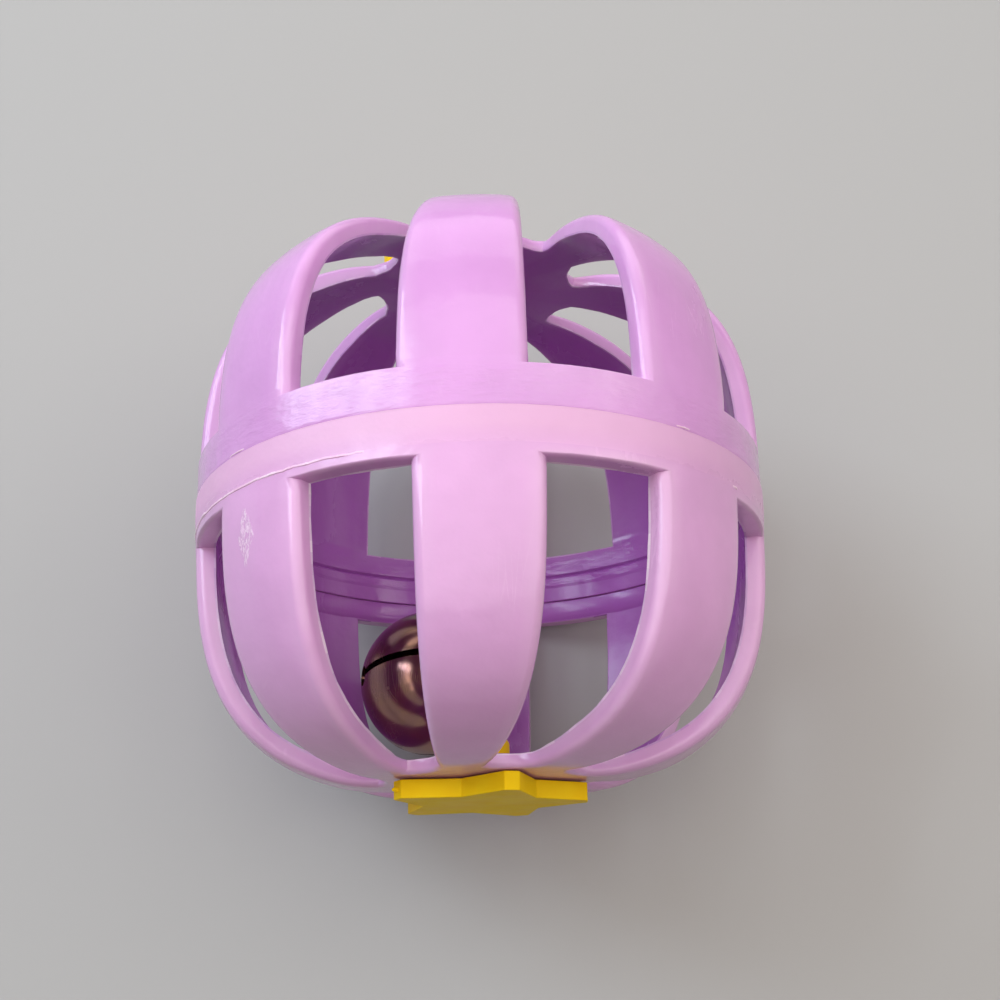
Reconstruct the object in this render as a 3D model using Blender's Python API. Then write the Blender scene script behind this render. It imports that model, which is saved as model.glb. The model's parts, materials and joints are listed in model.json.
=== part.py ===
"""Lattice cat toy ball: two snapped cage halves, a star cap at each pole, a loose bell inside.

The polar axis lies along Y, with the front star at -Y. The ball lies on its belt on z = 0.
"""
import math

import bmesh
import bpy
from mathutils import Matrix, Vector

MM = 0.001

# Cage: outer meridian, wall and openings
SHELL_RADIUS = 22.0 * MM
SHELL_HALF_HEIGHT = 21.58 * MM
SHELL_EXPONENT = 3.3
WALL = 1.5 * MM
RIB_COUNT = 8
RIB_WIDTH = 8.64 * MM
BAND_HALF = 3.2 * MM
HUB_FLAT_RADIUS = 9.8 * MM
HUB_RING_RADIUS = 7.8 * MM
RIB_EDGE_CHAMFER = 0.35 * MM
# Sideways lean of a rib between the band and the hub ring
RIB_LEAN = 1.75 * MM

# Snap joint at the parting plane: a tongue on the rear half, a lipped belt on the front half
FIT_GAP = 0.3 * MM
TONGUE_LENGTH = 1.25 * MM
TONGUE_ROOT = 1.1 * MM
TONGUE_WALL = 0.8 * MM
TONGUE_PROUD = 0.3 * MM
BEAD_HEIGHT = 0.45 * MM
BEAD_LENGTH = 0.5 * MM
BEAD_SLOPE = 0.1 * MM
BEAD_LEAD_IN = 0.35 * MM
BELT_WALL = 0.8 * MM
BELT_WIDTH = 2.45 * MM
BELT_PROUD_INSIDE = 0.1 * MM
REAR_TWIST = math.radians(-2.7)

# Star caps
STAR_POINTS = 5
STAR_RADIUS = 7.65 * MM
STAR_NOTCH_RADIUS = 4.8 * MM
STAR_TIP_WIDTH = 1.1 * MM
STAR_THICKNESS = 1.22 * MM
STAR_EDGE_CHAMFER = 0.12 * MM
STAR_STEM_RADIUS = 1.45 * MM
STAR_HEAD_LENGTH = 1.8 * MM
STAR_SNAP_LIP = 0.1 * MM
STAR_HEAD_LEAD_IN = 0.4 * MM
FRONT_STAR_TURN = math.radians(14.0)
REAR_STAR_TURN = math.radians(-32.0)

# Bell: two pressed cups, a wire eye and a pellet
BELL_RADIUS = 6.2 * MM
BELL_WALL = 0.45 * MM
BELL_LAP = 0.8 * MM
BELL_SLOT_WIDTH = 0.6 * MM
BELL_SLOT_HALF_ANGLE = math.radians(56.0)
BELL_SLOT_HOLE_RADIUS = 0.85 * MM
BELL_EYE_RADIUS = 0.65 * MM
BELL_WIRE_RADIUS = 0.3 * MM
BELL_RIVET_RADIUS = 1.2 * MM
BELL_RIVET_THICKNESS = 0.4 * MM
BELL_PELLET_RADIUS = 2.0 * MM
BELL_HUB_GAP = 2.73 * MM
BELL_WALL_GAP = 0.35 * MM
BELL_ROUND_ANGLE = math.radians(201.35)
BELL_SLOT_POLE = Vector((-0.300, 0.211, 0.930)).normalized()
BELL_SLOT_NORMAL = Vector((0.0, -0.976, 0.221)).normalized()

# Facets, and the angles over which an edge is sharp or is chamfered
RIB_STEPS = 4
WINDOW_STEPS = 4
RIB_SEGMENTS = 11
CUP_STEPS = 32
CUP_ARC_SEGMENTS = 8
WIRE_SIDES = 8
EYE_STEPS = 20
MERIDIAN_SAMPLES = 200
WALL_SAMPLES = 120
SEAT_HALVINGS = 40
MERGE_DISTANCE = 0.001 * MM
SHARP_ANGLE = math.radians(35)
RIB_CHAMFER_ANGLE = math.radians(50)
STAR_CHAMFER_ANGLE = math.radians(30)

# Sizes that follow from the ones above
RIB_PITCH = math.tau / RIB_COUNT
RIB_ANGLE = RIB_WIDTH / SHELL_RADIUS
RING_STEPS = RIB_COUNT * (RIB_STEPS + WINDOW_STEPS)
SHELL_INNER_RADIUS = SHELL_RADIUS - WALL
TONGUE_INNER = SHELL_INNER_RADIUS - TONGUE_PROUD
TONGUE_OUTER = TONGUE_INNER + TONGUE_WALL
BEAD_RADIUS = TONGUE_OUTER + BEAD_HEIGHT
LIP_RADIUS = TONGUE_OUTER + FIT_GAP
UNDERCUT_RADIUS = BEAD_RADIUS + FIT_GAP
BELT_RADIUS = LIP_RADIUS + BELT_WALL
BELT_RIM = FIT_GAP / 2
LIP_END = TONGUE_LENGTH - BEAD_LENGTH - FIT_GAP
SOCKET_FLOOR = TONGUE_LENGTH + FIT_GAP
STEM_HOLE_RADIUS = STAR_STEM_RADIUS + FIT_GAP
STAR_HEAD_RADIUS = STEM_HOLE_RADIUS + STAR_SNAP_LIP
FACET_HALF_ANGLE = math.pi / RING_STEPS
BALL_CENTRE = Vector((0.0, 0.0, BELT_RADIUS * math.cos(FACET_HALF_ANGLE)))

# Turning local +Z, the way out through a pole, to the front (-Y) or to the rear (+Y)
TO_FRONT = Matrix.Rotation(math.pi / 2, 4, "X")
TO_REAR = Matrix.Rotation(-math.pi / 2, 4, "X")


def shell_height(radius):
    """Height of the outer meridian over the parting plane at a radius."""
    return SHELL_HALF_HEIGHT * (1 - (radius / SHELL_RADIUS) ** SHELL_EXPONENT) ** (1 / SHELL_EXPONENT)


def shell_radius(height):
    """Radius of the outer meridian at a height over the parting plane."""
    return SHELL_RADIUS * (1 - (height / SHELL_HALF_HEIGHT) ** SHELL_EXPONENT) ** (1 / SHELL_EXPONENT)


HUB_FACE = shell_height(HUB_FLAT_RADIUS)
HUB_INNER_FACE = HUB_FACE - WALL


def even_points(points, count):
    """Points spaced evenly along a polyline of (radius, height) pairs."""
    lengths = [0.0]
    for a, b in zip(points, points[1:]):
        lengths.append(lengths[-1] + math.dist(a, b))
    out = []
    index = 0
    for step in range(count + 1):
        target = lengths[-1] * step / count
        while index < len(points) - 2 and lengths[index + 1] < target:
            index += 1
        share = (target - lengths[index]) / (lengths[index + 1] - lengths[index])
        a = points[index]
        b = points[index + 1]
        out.append((a[0] + (b[0] - a[0]) * share, a[1] + (b[1] - a[1]) * share))
    return out


def rib_arc(count):
    """Outer meridian from the band's edge to the rim of the flat hub."""
    start = math.asin((BAND_HALF / SHELL_HALF_HEIGHT) ** (SHELL_EXPONENT / 2))
    end = math.acos((HUB_FLAT_RADIUS / SHELL_RADIUS) ** (SHELL_EXPONENT / 2))
    points = []
    for step in range(MERIDIAN_SAMPLES + 1):
        angle = start + (end - start) * step / MERIDIAN_SAMPLES
        radius = SHELL_RADIUS * math.cos(angle) ** (2 / SHELL_EXPONENT)
        height = SHELL_HALF_HEIGHT * math.sin(angle) ** (2 / SHELL_EXPONENT)
        points.append((radius, height))
    return even_points(points, count)


def arc(radius, start, end, count):
    """Points (radius, height) on a circle about the origin, by angle from the axis."""
    points = []
    for step in range(count + 1):
        angle = start + (end - start) * step / count
        points.append((radius * math.sin(angle), radius * math.cos(angle)))
    return points


def plastic(name, colour, roughness):
    """Glossy moulded plastic."""
    material = bpy.data.materials.new(name)
    material.use_nodes = True
    shader = material.node_tree.nodes["Principled BSDF"]
    shader.inputs["Base Color"].default_value = (*colour, 1.0)
    shader.inputs["Roughness"].default_value = roughness
    shader.inputs["Metallic"].default_value = 0.0
    return material


def metal(name, colour, roughness):
    """Bare or plated metal."""
    material = plastic(name, colour, roughness)
    material.node_tree.nodes["Principled BSDF"].inputs["Metallic"].default_value = 1.0
    return material


def object_from(name, bm, material):
    """New object of a bmesh, smooth but for its sharp edges."""
    mesh = bpy.data.meshes.new(name)
    bm.to_mesh(mesh)
    bm.free()
    mesh.shade_smooth()
    mesh.set_sharp_from_angle(angle=SHARP_ANGLE)
    obj = bpy.data.objects.new(name, mesh)
    bpy.context.collection.objects.link(obj)
    if material is not None:
        mesh.materials.append(material)
    return obj


def turned(profile, steps, closed, start_angle=0.0):
    """Bmesh of a (radius, height) profile spun about Z."""
    bm = bmesh.new()
    turn = Matrix.Rotation(start_angle, 3, "Z")
    verts = [bm.verts.new(turn @ Vector((radius, 0.0, height))) for radius, height in profile]
    for a, b in zip(verts, verts[1:]):
        bm.edges.new((a, b))
    if closed:
        bm.edges.new((verts[-1], verts[0]))
    bmesh.ops.spin(
        bm,
        geom=bm.verts[:] + bm.edges[:],
        cent=(0, 0, 0),
        axis=(0, 0, 1),
        angle=math.tau,
        steps=steps,
        use_merge=True,
    )
    bmesh.ops.remove_doubles(bm, verts=bm.verts[:], dist=MERGE_DISTANCE)
    bmesh.ops.recalc_face_normals(bm, faces=bm.faces[:])
    return bm


def helper(name, bm, like):
    """Hidden solid that a Boolean on another object uses, placed as that object is."""
    obj = object_from(name, bm, None)
    obj.hide_render = True
    obj.display_type = "WIRE"
    obj.parent = like.parent
    obj.matrix_basis = like.matrix_basis.copy()
    return obj


def boolean(obj, operation, other):
    """Exact Boolean of an object with a hidden solid."""
    modifier = obj.modifiers.new(operation.title(), "BOOLEAN")
    modifier.operation = operation
    modifier.solver = "EXACT"
    modifier.object = other


def place(obj, parent, turn):
    """Puts an object on a parent with a local turn."""
    obj.parent = parent
    obj.matrix_basis = turn


def empty(name, location, parent=None):
    """Empty that carries the pieces of one moving group."""
    obj = bpy.data.objects.new(name, None)
    bpy.context.collection.objects.link(obj)
    obj.parent = parent
    obj.location = location
    return obj


def spin_on(bm, line, angle, steps):
    """Spins the last profile line on about Z, and gives the new last line and the new faces."""
    before = set(bm.faces)
    spun = bmesh.ops.spin(
        bm,
        geom=line,
        cent=(0, 0, 0),
        axis=(0, 0, 1),
        angle=angle,
        steps=steps,
    )
    return spun["geom_last"], [face for face in bm.faces if face not in before]


def lean_turn(radius):
    """Turn about the pole that gives the ribs their lean: none at the shell's radius, all at the hub."""
    reach = max(radius, HUB_RING_RADIUS)
    return RIB_LEAN * (SHELL_RADIUS - reach) / (SHELL_RADIUS - HUB_RING_RADIUS) / reach


def ribbed_sheet(profile):
    """Bmesh of the half shell's outer face: the profile spun over ribs and windows in turn."""
    bm = bmesh.new()
    turn = Matrix.Rotation(math.pi / 2 - RIB_ANGLE / 2, 3, "Z")
    verts = [bm.verts.new(turn @ Vector((radius, 0.0, height))) for radius, height in profile]
    line = verts + [bm.edges.new(pair) for pair in zip(verts, verts[1:])]
    open_faces = []
    for _ in range(RIB_COUNT):
        line, _rib = spin_on(bm, line, RIB_ANGLE, RIB_STEPS)
        line, window = spin_on(bm, line, RIB_PITCH - RIB_ANGLE, WINDOW_STEPS)
        for face in window:
            centre = face.calc_center_median()
            over_band = centre.z > BAND_HALF
            off_hub = math.hypot(centre.x, centre.y) > HUB_RING_RADIUS
            if over_band and off_hub:
                open_faces.append(face)
    bmesh.ops.delete(bm, geom=open_faces, context="FACES")
    bmesh.ops.remove_doubles(bm, verts=bm.verts[:], dist=MERGE_DISTANCE)
    for vert in bm.verts:
        lean = Matrix.Rotation(lean_turn(math.hypot(vert.co.x, vert.co.y)), 3, "Z")
        vert.co = lean @ vert.co
    bmesh.ops.recalc_face_normals(bm, faces=bm.faces[:])
    top = max(bm.faces, key=lambda face: face.calc_center_median().z)
    if top.normal.z < 0:
        bmesh.ops.reverse_faces(bm, faces=bm.faces[:])
    return bm


def cage_shell(name, rim_height, material):
    """Ribbed half shell: its outer face as a sheet, given its wall and its broken edges."""
    profile = [(shell_radius(rim_height), rim_height)]
    profile += rib_arc(RIB_SEGMENTS)
    profile += [(HUB_RING_RADIUS, HUB_FACE), (STEM_HOLE_RADIUS, HUB_FACE)]
    obj = object_from(name, ribbed_sheet(profile), material)
    solidify = obj.modifiers.new("Wall", "SOLIDIFY")
    solidify.thickness = WALL
    solidify.offset = -1.0
    solidify.use_even_offset = True
    chamfer = obj.modifiers.new("Edges", "BEVEL")
    chamfer.width = RIB_EDGE_CHAMFER
    chamfer.segments = 1
    chamfer.limit_method = "ANGLE"
    chamfer.angle_limit = RIB_CHAMFER_ANGLE
    return obj


def front_cage_half(parent, material):
    """Half with the raised belt, whose lipped socket takes the rear half's tongue."""
    shell_start = (SOCKET_FLOOR + BELT_WIDTH) / 2
    obj = cage_shell("front_cage_half", shell_start, material)
    place(obj, parent, TO_FRONT)
    inner = SHELL_INNER_RADIUS - BELT_PROUD_INSIDE
    section = [
        (LIP_RADIUS, BELT_RIM),
        (BELT_RADIUS, BELT_RIM),
        (BELT_RADIUS, BELT_WIDTH),
        (inner, BELT_WIDTH),
        (inner, SOCKET_FLOOR),
        (UNDERCUT_RADIUS, SOCKET_FLOOR),
        (UNDERCUT_RADIUS, LIP_END),
        (LIP_RADIUS, LIP_END),
    ]
    # Half a step off, so that the belt has a facet and not an edge under it
    bm = turned(section, RING_STEPS, True, FACET_HALF_ANGLE)
    boolean(obj, "UNION", helper("front_belt", bm, obj))
    return obj


def rear_cage_half(parent, material):
    """Half with the tongue that snaps behind the belt's lip."""
    obj = cage_shell("rear_cage_half", BELT_RIM, material)
    place(obj, parent, TO_REAR)
    bead_start = TONGUE_LENGTH - BEAD_LENGTH
    section = [
        (TONGUE_INNER, TONGUE_ROOT),
        (TONGUE_OUTER, TONGUE_ROOT),
        (TONGUE_OUTER, -bead_start),
        (BEAD_RADIUS, -bead_start - BEAD_SLOPE),
        (BEAD_RADIUS, -TONGUE_LENGTH + BEAD_SLOPE),
        (BEAD_RADIUS - BEAD_LEAD_IN, -TONGUE_LENGTH),
        (TONGUE_INNER, -TONGUE_LENGTH),
    ]
    bm = turned(section, RING_STEPS, True, FACET_HALF_ANGLE)
    boolean(obj, "UNION", helper("rear_tongue", bm, obj))
    return obj


def star_outline():
    """Corners of the star: blunt tips, with one notch point between two tips."""
    corners = []
    for point in range(STAR_POINTS):
        angle = math.tau * point / STAR_POINTS
        out = Vector((math.sin(angle), math.cos(angle), 0.0))
        side = Vector((math.cos(angle), -math.sin(angle), 0.0))
        corners.append(out * STAR_RADIUS - side * STAR_TIP_WIDTH / 2)
        corners.append(out * STAR_RADIUS + side * STAR_TIP_WIDTH / 2)
        notch = angle + math.pi / STAR_POINTS
        corners.append(Vector((math.sin(notch), math.cos(notch), 0.0)) * STAR_NOTCH_RADIUS)
    return corners


def star_cap(name, parent, turn, material):
    """Star plate that lies on the hub, with a pin snapped through the hub's hole."""
    back = HUB_FACE + FIT_GAP
    bm = bmesh.new()
    face = bm.faces.new([bm.verts.new(corner + Vector((0, 0, back))) for corner in star_outline()])
    lifted = bmesh.ops.extrude_face_region(bm, geom=[face])
    moved = [item for item in lifted["geom"] if isinstance(item, bmesh.types.BMVert)]
    bmesh.ops.translate(bm, verts=moved, vec=(0, 0, STAR_THICKNESS))
    bmesh.ops.recalc_face_normals(bm, faces=bm.faces[:])
    obj = object_from(name, bm, material)
    place(obj, parent, turn)
    chamfer = obj.modifiers.new("Edges", "BEVEL")
    chamfer.width = STAR_EDGE_CHAMFER
    chamfer.segments = 1
    chamfer.limit_method = "ANGLE"
    chamfer.angle_limit = STAR_CHAMFER_ANGLE
    under_hub = HUB_INNER_FACE - FIT_GAP
    pin = [
        (0.0, back + STAR_THICKNESS / 2),
        (STAR_STEM_RADIUS, back + STAR_THICKNESS / 2),
        (STAR_STEM_RADIUS, under_hub),
        (STAR_HEAD_RADIUS, under_hub),
        (STAR_HEAD_RADIUS, under_hub - STAR_HEAD_LENGTH + STAR_HEAD_LEAD_IN),
        (STAR_HEAD_RADIUS - STAR_HEAD_LEAD_IN, under_hub - STAR_HEAD_LENGTH),
        (0.0, under_hub - STAR_HEAD_LENGTH),
    ]
    boolean(obj, "UNION", helper(name + "_pin", turned(pin, CUP_STEPS, False), obj))
    return obj


def bell_frame():
    """Turn that takes the bell's slot direction, slot normal and slot pole to the ball's frame."""
    pole = BELL_SLOT_POLE
    along = BELL_SLOT_NORMAL.cross(pole).normalized()
    across = pole.cross(along)
    return Matrix((along, across, pole)).transposed().to_4x4()


def eye_height():
    """Distance of the wire eye's centre from the bell's centre."""
    return BELL_RADIUS + FIT_GAP + BELL_WIRE_RADIUS + BELL_EYE_RADIUS


def inner_wall():
    """Points (radius, height) of the shell's inner face, from the tongue to the hub."""
    outer = rib_arc(WALL_SAMPLES)
    points = [(TONGUE_INNER, 0.0), (TONGUE_INNER, TONGUE_ROOT)]
    for a, b in zip(outer, outer[1:]):
        run = Vector((b[0] - a[0], b[1] - a[1])).normalized()
        points.append((a[0] - WALL * run.y, a[1] + WALL * run.x))
    points.append((HUB_FLAT_RADIUS, HUB_INNER_FACE))
    points.append((STAR_HEAD_RADIUS, HUB_INNER_FACE))
    return points


def wall_distance(point, wall):
    """Least distance from a point inside the cage to the inner face of a half."""
    radius = math.hypot(point.x, point.z)
    return min(math.dist((radius, abs(point.y)), place) for place in wall)


def bell_centre():
    """Place of the bell from the ball's centre: down in the cage, clear of the wall all round."""
    forward = HUB_INNER_FACE - BELL_HUB_GAP - BELL_RADIUS
    down = Vector((math.sin(BELL_ROUND_ANGLE), 0.0, math.cos(BELL_ROUND_ANGLE)))
    eye_tip = -BELL_SLOT_POLE * eye_height()
    eye_reach = BELL_EYE_RADIUS + BELL_WIRE_RADIUS
    wall = inner_wall()
    low = 0.0
    high = SHELL_INNER_RADIUS
    for _ in range(SEAT_HALVINGS):
        middle = (low + high) / 2
        centre = down * middle + Vector((0.0, -forward, 0.0))
        bell_clear = wall_distance(centre, wall) - BELL_RADIUS
        eye_clear = wall_distance(centre + eye_tip, wall) - eye_reach
        outside = math.hypot((centre + eye_tip).x, (centre + eye_tip).z) > SHELL_INNER_RADIUS
        if min(bell_clear, eye_clear) >= BELL_WALL_GAP and not outside:
            low = middle
        else:
            high = middle
    return down * low + Vector((0.0, -forward, 0.0))


def slotted_cup(parent, turn, material):
    """Outer cup of the bell, with its sound slot and the round hole at each end of it."""
    inner = BELL_RADIUS - BELL_WALL
    section = arc(BELL_RADIUS, 0.0, math.pi / 2, CUP_ARC_SEGMENTS)
    section += [(BELL_RADIUS, -BELL_LAP), (inner, -BELL_LAP)]
    section += arc(inner, math.pi / 2, 0.0, CUP_ARC_SEGMENTS)
    obj = object_from("bell_slotted_cup", turned(section, CUP_STEPS, False), material)
    place(obj, parent, turn)
    reach = BELL_RADIUS * math.sin(BELL_SLOT_HALF_ANGLE)
    slot = bmesh.new()
    bmesh.ops.create_cube(slot, size=1.0)
    bmesh.ops.scale(slot, verts=slot.verts[:], vec=(2 * reach, BELL_SLOT_WIDTH, BELL_RADIUS))
    slot_floor = inner * math.cos(BELL_SLOT_HALF_ANGLE) - BELL_WALL
    bmesh.ops.translate(slot, verts=slot.verts[:], vec=(0, 0, slot_floor + BELL_RADIUS / 2))
    boolean(obj, "DIFFERENCE", helper("bell_slot", slot, obj))
    for side in (-1, 1):
        drill = bmesh.new()
        bmesh.ops.create_cone(
            drill,
            cap_ends=True,
            segments=WIRE_SIDES * 2,
            radius1=BELL_SLOT_HOLE_RADIUS,
            radius2=BELL_SLOT_HOLE_RADIUS,
            depth=BELL_RADIUS / 2,
        )
        lift = Matrix.Translation((0, 0, BELL_RADIUS - BELL_WALL / 2))
        lean = Matrix.Rotation(side * BELL_SLOT_HALF_ANGLE, 4, "Y")
        bmesh.ops.transform(drill, matrix=lean @ lift, verts=drill.verts[:])
        side_name = "left" if side < 0 else "right"
        boolean(obj, "DIFFERENCE", helper("bell_hole_" + side_name, drill, obj))
    return obj


def crown_cup(parent, turn, material):
    """Inner cup of the bell: its necked rim fits inside the slotted cup, its crown takes the eye."""
    inner = BELL_RADIUS - BELL_WALL
    neck = inner - FIT_GAP
    hole_angle = math.asin((BELL_WIRE_RADIUS + FIT_GAP) / BELL_RADIUS)
    shoulder = BELL_LAP + FIT_GAP
    shoulder_angle = math.acos(-shoulder / BELL_RADIUS)
    neck_angle = math.acos(-(shoulder + BELL_WALL) / inner)
    hole_inner_angle = math.asin((BELL_WIRE_RADIUS + FIT_GAP) / inner)
    section = [(neck, BELL_LAP), (neck, -shoulder)]
    section += arc(BELL_RADIUS, shoulder_angle, math.pi - hole_angle, CUP_ARC_SEGMENTS)
    section += arc(inner, math.pi - hole_inner_angle, neck_angle, CUP_ARC_SEGMENTS)
    section += [(neck - BELL_WALL, -shoulder), (neck - BELL_WALL, BELL_LAP)]
    obj = object_from("bell_crown_cup", turned(section, CUP_STEPS, True), material)
    place(obj, parent, turn)
    return obj


def wire_eye(parent, turn, material):
    """Wire eye on the crown, with a neck through the crown and a rivet head inside."""
    inner = BELL_RADIUS - BELL_WALL
    head_top = -(inner - FIT_GAP) * math.cos(math.asin(BELL_RIVET_RADIUS / inner))
    neck_end = -eye_height() + BELL_EYE_RADIUS
    rivet = [
        (0.0, neck_end),
        (BELL_WIRE_RADIUS, neck_end),
        (BELL_WIRE_RADIUS, head_top),
        (BELL_RIVET_RADIUS, head_top),
        (BELL_RIVET_RADIUS, head_top + BELL_RIVET_THICKNESS),
        (0.0, head_top + BELL_RIVET_THICKNESS),
    ]
    obj = object_from("bell_loop", turned(rivet, CUP_STEPS // 2, False), material)
    place(obj, parent, turn)
    wire = [
        (BELL_EYE_RADIUS + BELL_WIRE_RADIUS * math.cos(math.tau * k / WIRE_SIDES),
         BELL_WIRE_RADIUS * math.sin(math.tau * k / WIRE_SIDES))
        for k in range(WIRE_SIDES)
    ]
    ring = turned(wire, EYE_STEPS, True)
    stand = Matrix.Translation((0, 0, -eye_height())) @ Matrix.Rotation(math.pi / 2, 4, "X")
    bmesh.ops.transform(ring, matrix=stand, verts=ring.verts[:])
    boolean(obj, "UNION", helper("bell_eye_ring", ring, obj))
    return obj


def pellet(parent, material):
    """Steel ball at the bottom of the bell."""
    bm = bmesh.new()
    bmesh.ops.create_icosphere(bm, subdivisions=2, radius=BELL_PELLET_RADIUS)
    drop = BELL_RADIUS - BELL_WALL - FIT_GAP - BELL_WALL - BELL_PELLET_RADIUS - FIT_GAP
    bmesh.ops.translate(bm, verts=bm.verts[:], vec=(0, 0, -drop))
    obj = object_from("bell_pellet", bm, material)
    obj.parent = parent
    return obj


def main():
    """Builds the ball."""
    for obj in list(bpy.data.objects):
        bpy.data.objects.remove(obj, do_unlink=True)
    lilac_front = plastic("lilac_front", (0.70, 0.37, 0.72), 0.28)
    lilac_rear = plastic("lilac_rear", (0.69, 0.36, 0.71), 0.28)
    yellow_front = plastic("yellow_front", (0.93, 0.60, 0.02), 0.35)
    yellow_rear = plastic("yellow_rear", (0.92, 0.59, 0.02), 0.35)
    copper_slotted = metal("copper_slotted", (0.62, 0.38, 0.24), 0.22)
    copper_crown = metal("copper_crown", (0.60, 0.37, 0.24), 0.22)
    wire = metal("wire", (0.58, 0.42, 0.30), 0.30)
    steel = metal("steel", (0.55, 0.55, 0.56), 0.25)
    ball = empty("ball", BALL_CENTRE)
    front_cage_half(ball, lilac_front)
    star_cap("front_star_cap", ball, TO_FRONT @ Matrix.Rotation(-FRONT_STAR_TURN, 4, "Z"), yellow_front)
    rear = empty("rear_group", (0, 0, 0), ball)
    rear.rotation_euler = (0, REAR_TWIST, 0)
    rear_cage_half(rear, lilac_rear)
    star_cap("rear_star_cap", rear, TO_REAR @ Matrix.Rotation(REAR_STAR_TURN, 4, "Z"), yellow_rear)
    bell_orbit = empty("bell_orbit", (0, 0, 0), ball)
    bell = empty("bell", bell_centre(), bell_orbit)
    turn = bell_frame()
    slotted_cup(bell, turn, copper_slotted)
    crown_cup(bell, turn, copper_crown)
    wire_eye(bell, turn, wire)
    pellet(bell, steel)


main()
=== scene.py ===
"""Looks of a lattice cat toy ball, built round the packed frame and laid out as a Blender add-on."""

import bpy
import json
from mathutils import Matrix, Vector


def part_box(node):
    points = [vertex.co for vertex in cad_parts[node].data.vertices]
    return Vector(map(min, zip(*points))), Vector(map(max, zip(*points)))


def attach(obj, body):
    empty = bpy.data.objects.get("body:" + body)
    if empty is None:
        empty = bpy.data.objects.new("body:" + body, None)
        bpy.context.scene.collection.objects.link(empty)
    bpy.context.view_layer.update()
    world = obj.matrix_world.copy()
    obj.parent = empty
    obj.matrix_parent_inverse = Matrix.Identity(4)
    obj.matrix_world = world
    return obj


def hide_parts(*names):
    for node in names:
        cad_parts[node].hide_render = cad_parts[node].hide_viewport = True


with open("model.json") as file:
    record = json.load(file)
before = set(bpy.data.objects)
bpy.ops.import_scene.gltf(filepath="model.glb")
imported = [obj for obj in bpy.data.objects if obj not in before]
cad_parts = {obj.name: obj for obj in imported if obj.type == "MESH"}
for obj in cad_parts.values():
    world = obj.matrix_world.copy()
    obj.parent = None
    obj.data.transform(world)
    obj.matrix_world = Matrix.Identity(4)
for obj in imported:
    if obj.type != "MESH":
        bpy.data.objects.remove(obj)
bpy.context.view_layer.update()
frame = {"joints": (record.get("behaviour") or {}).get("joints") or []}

import json
import math

import bmesh
import bpy
from bpy.props import FloatProperty, FloatVectorProperty, IntProperty, PointerProperty
from mathutils import Matrix, Vector, noise

bl_info = {
    "name": "Lattice Toy Ball",
    "version": (1, 0, 0),
    "blender": (4, 5, 0),
    "location": "View3D > Sidebar > Toy Ball",
    "description": "Finished pieces and stage of a lattice cat toy ball with star caps and a bell",
    "category": "Object",
}

MM = 0.001
PANEL_TAB = "Toy Ball"

# Places that come from the packed frame
JOINT_PLACES = {joint["name"]: Vector(joint["pos_m"]) for joint in frame["joints"]}
BALL_CENTRE = JOINT_PLACES["half_twist"]
BELL_CENTRE = JOINT_PLACES["pellet_roll"]
STAR_FACE = BALL_CENTRE.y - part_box("front_star_cap")[0].y
AT_CENTRE = Matrix.Translation(BALL_CENTRE)

# Turning local +Z, the way out through a pole, to the front (-Y) or to the rear (+Y)
TO_FRONT = Matrix.Rotation(math.pi / 2, 4, "X")
TO_REAR = Matrix.Rotation(-math.pi / 2, 4, "X")

# Burrs on the seams: angle from the top towards the right seen from the front and half width, both in
# degrees, and height in millimetres
BELT_BURRS = ((-65.0, 1.3, 0.09), (-39.0, 0.9, 0.04), (54.5, 1.1, 0.15), (139.0, 1.6, 0.08))
RIM_BURRS = ((-49.6, 2.6, 0.13), (38.8, 1.8, 0.12), (162.0, 2.2, 0.13))

# Mean share of a burr's height, about which it is uneven
BURR_MEAN = 0.75

# The belt's flash is worn down on both sides of this angle, which is measured as the burrs' are
WORN_MIDDLE = math.radians(38.0)
WORN_HALF_ANGLE = math.radians(62.0)
WORN_STEEPNESS = 3.0
WORN_DEPTH = 0.11 * MM

# Flash on the windows' inner edges: mean share, and the parts of it all round and towards the lit side
FLASH_MEAN = 0.85
FLASH_ALL_ROUND = 0.4
FLASH_SIDED = 0.7

# Share of the belt flash's thickness by which it is sunk, and the thin ring on the rear half's rim
FLASH_SUNK_SHARE = 0.25
RIM_FLASH_SUNK = 0.10 * MM
RIM_FLASH_HEIGHT = 0.16 * MM
RIM_FLASH_THICKNESS = 0.14 * MM

# Small steps and rounds of the turned sections
SEAM_STEP = 0.1 * MM
RIM_ROUND = 0.05 * MM
SOCKET_ROUND = 0.06 * MM
TONGUE_ROUND = 0.08 * MM
HOLE_ROUND = 0.12 * MM
PIN_LEAD = 0.4 * MM
PIN_HEAD_ROUND = 0.06 * MM
PIN_END_ROUND = 0.2 * MM
CUP_LIP_ROUND = 0.1 * MM
RIVET_ROUND = 0.1 * MM
RIVET_END_ROUND = 0.15 * MM

# Radius of the land round the hub's hole, in radii of the hole
HOLE_LAND = 2.4

# Depth of the pellet's dents as a share of its radius, and the scale of their noise
PELLET_DENT = 0.012
PELLET_DENT_SCALE = 2.3

# Scuffed spot on a front rib: place from the ball's centre, turn about Y, reach, weights of its diamond
SCUFF_PLACE = Vector((-15.9, -6.1, 15.0)) * MM
SCUFF_TURN = math.radians(-46.0)
SCUFF_REACH = (1.0 * MM, 2.2 * MM, 1.6 * MM)
SCUFF_DIAMOND = (1.0, 1.0, 0.2)
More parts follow.
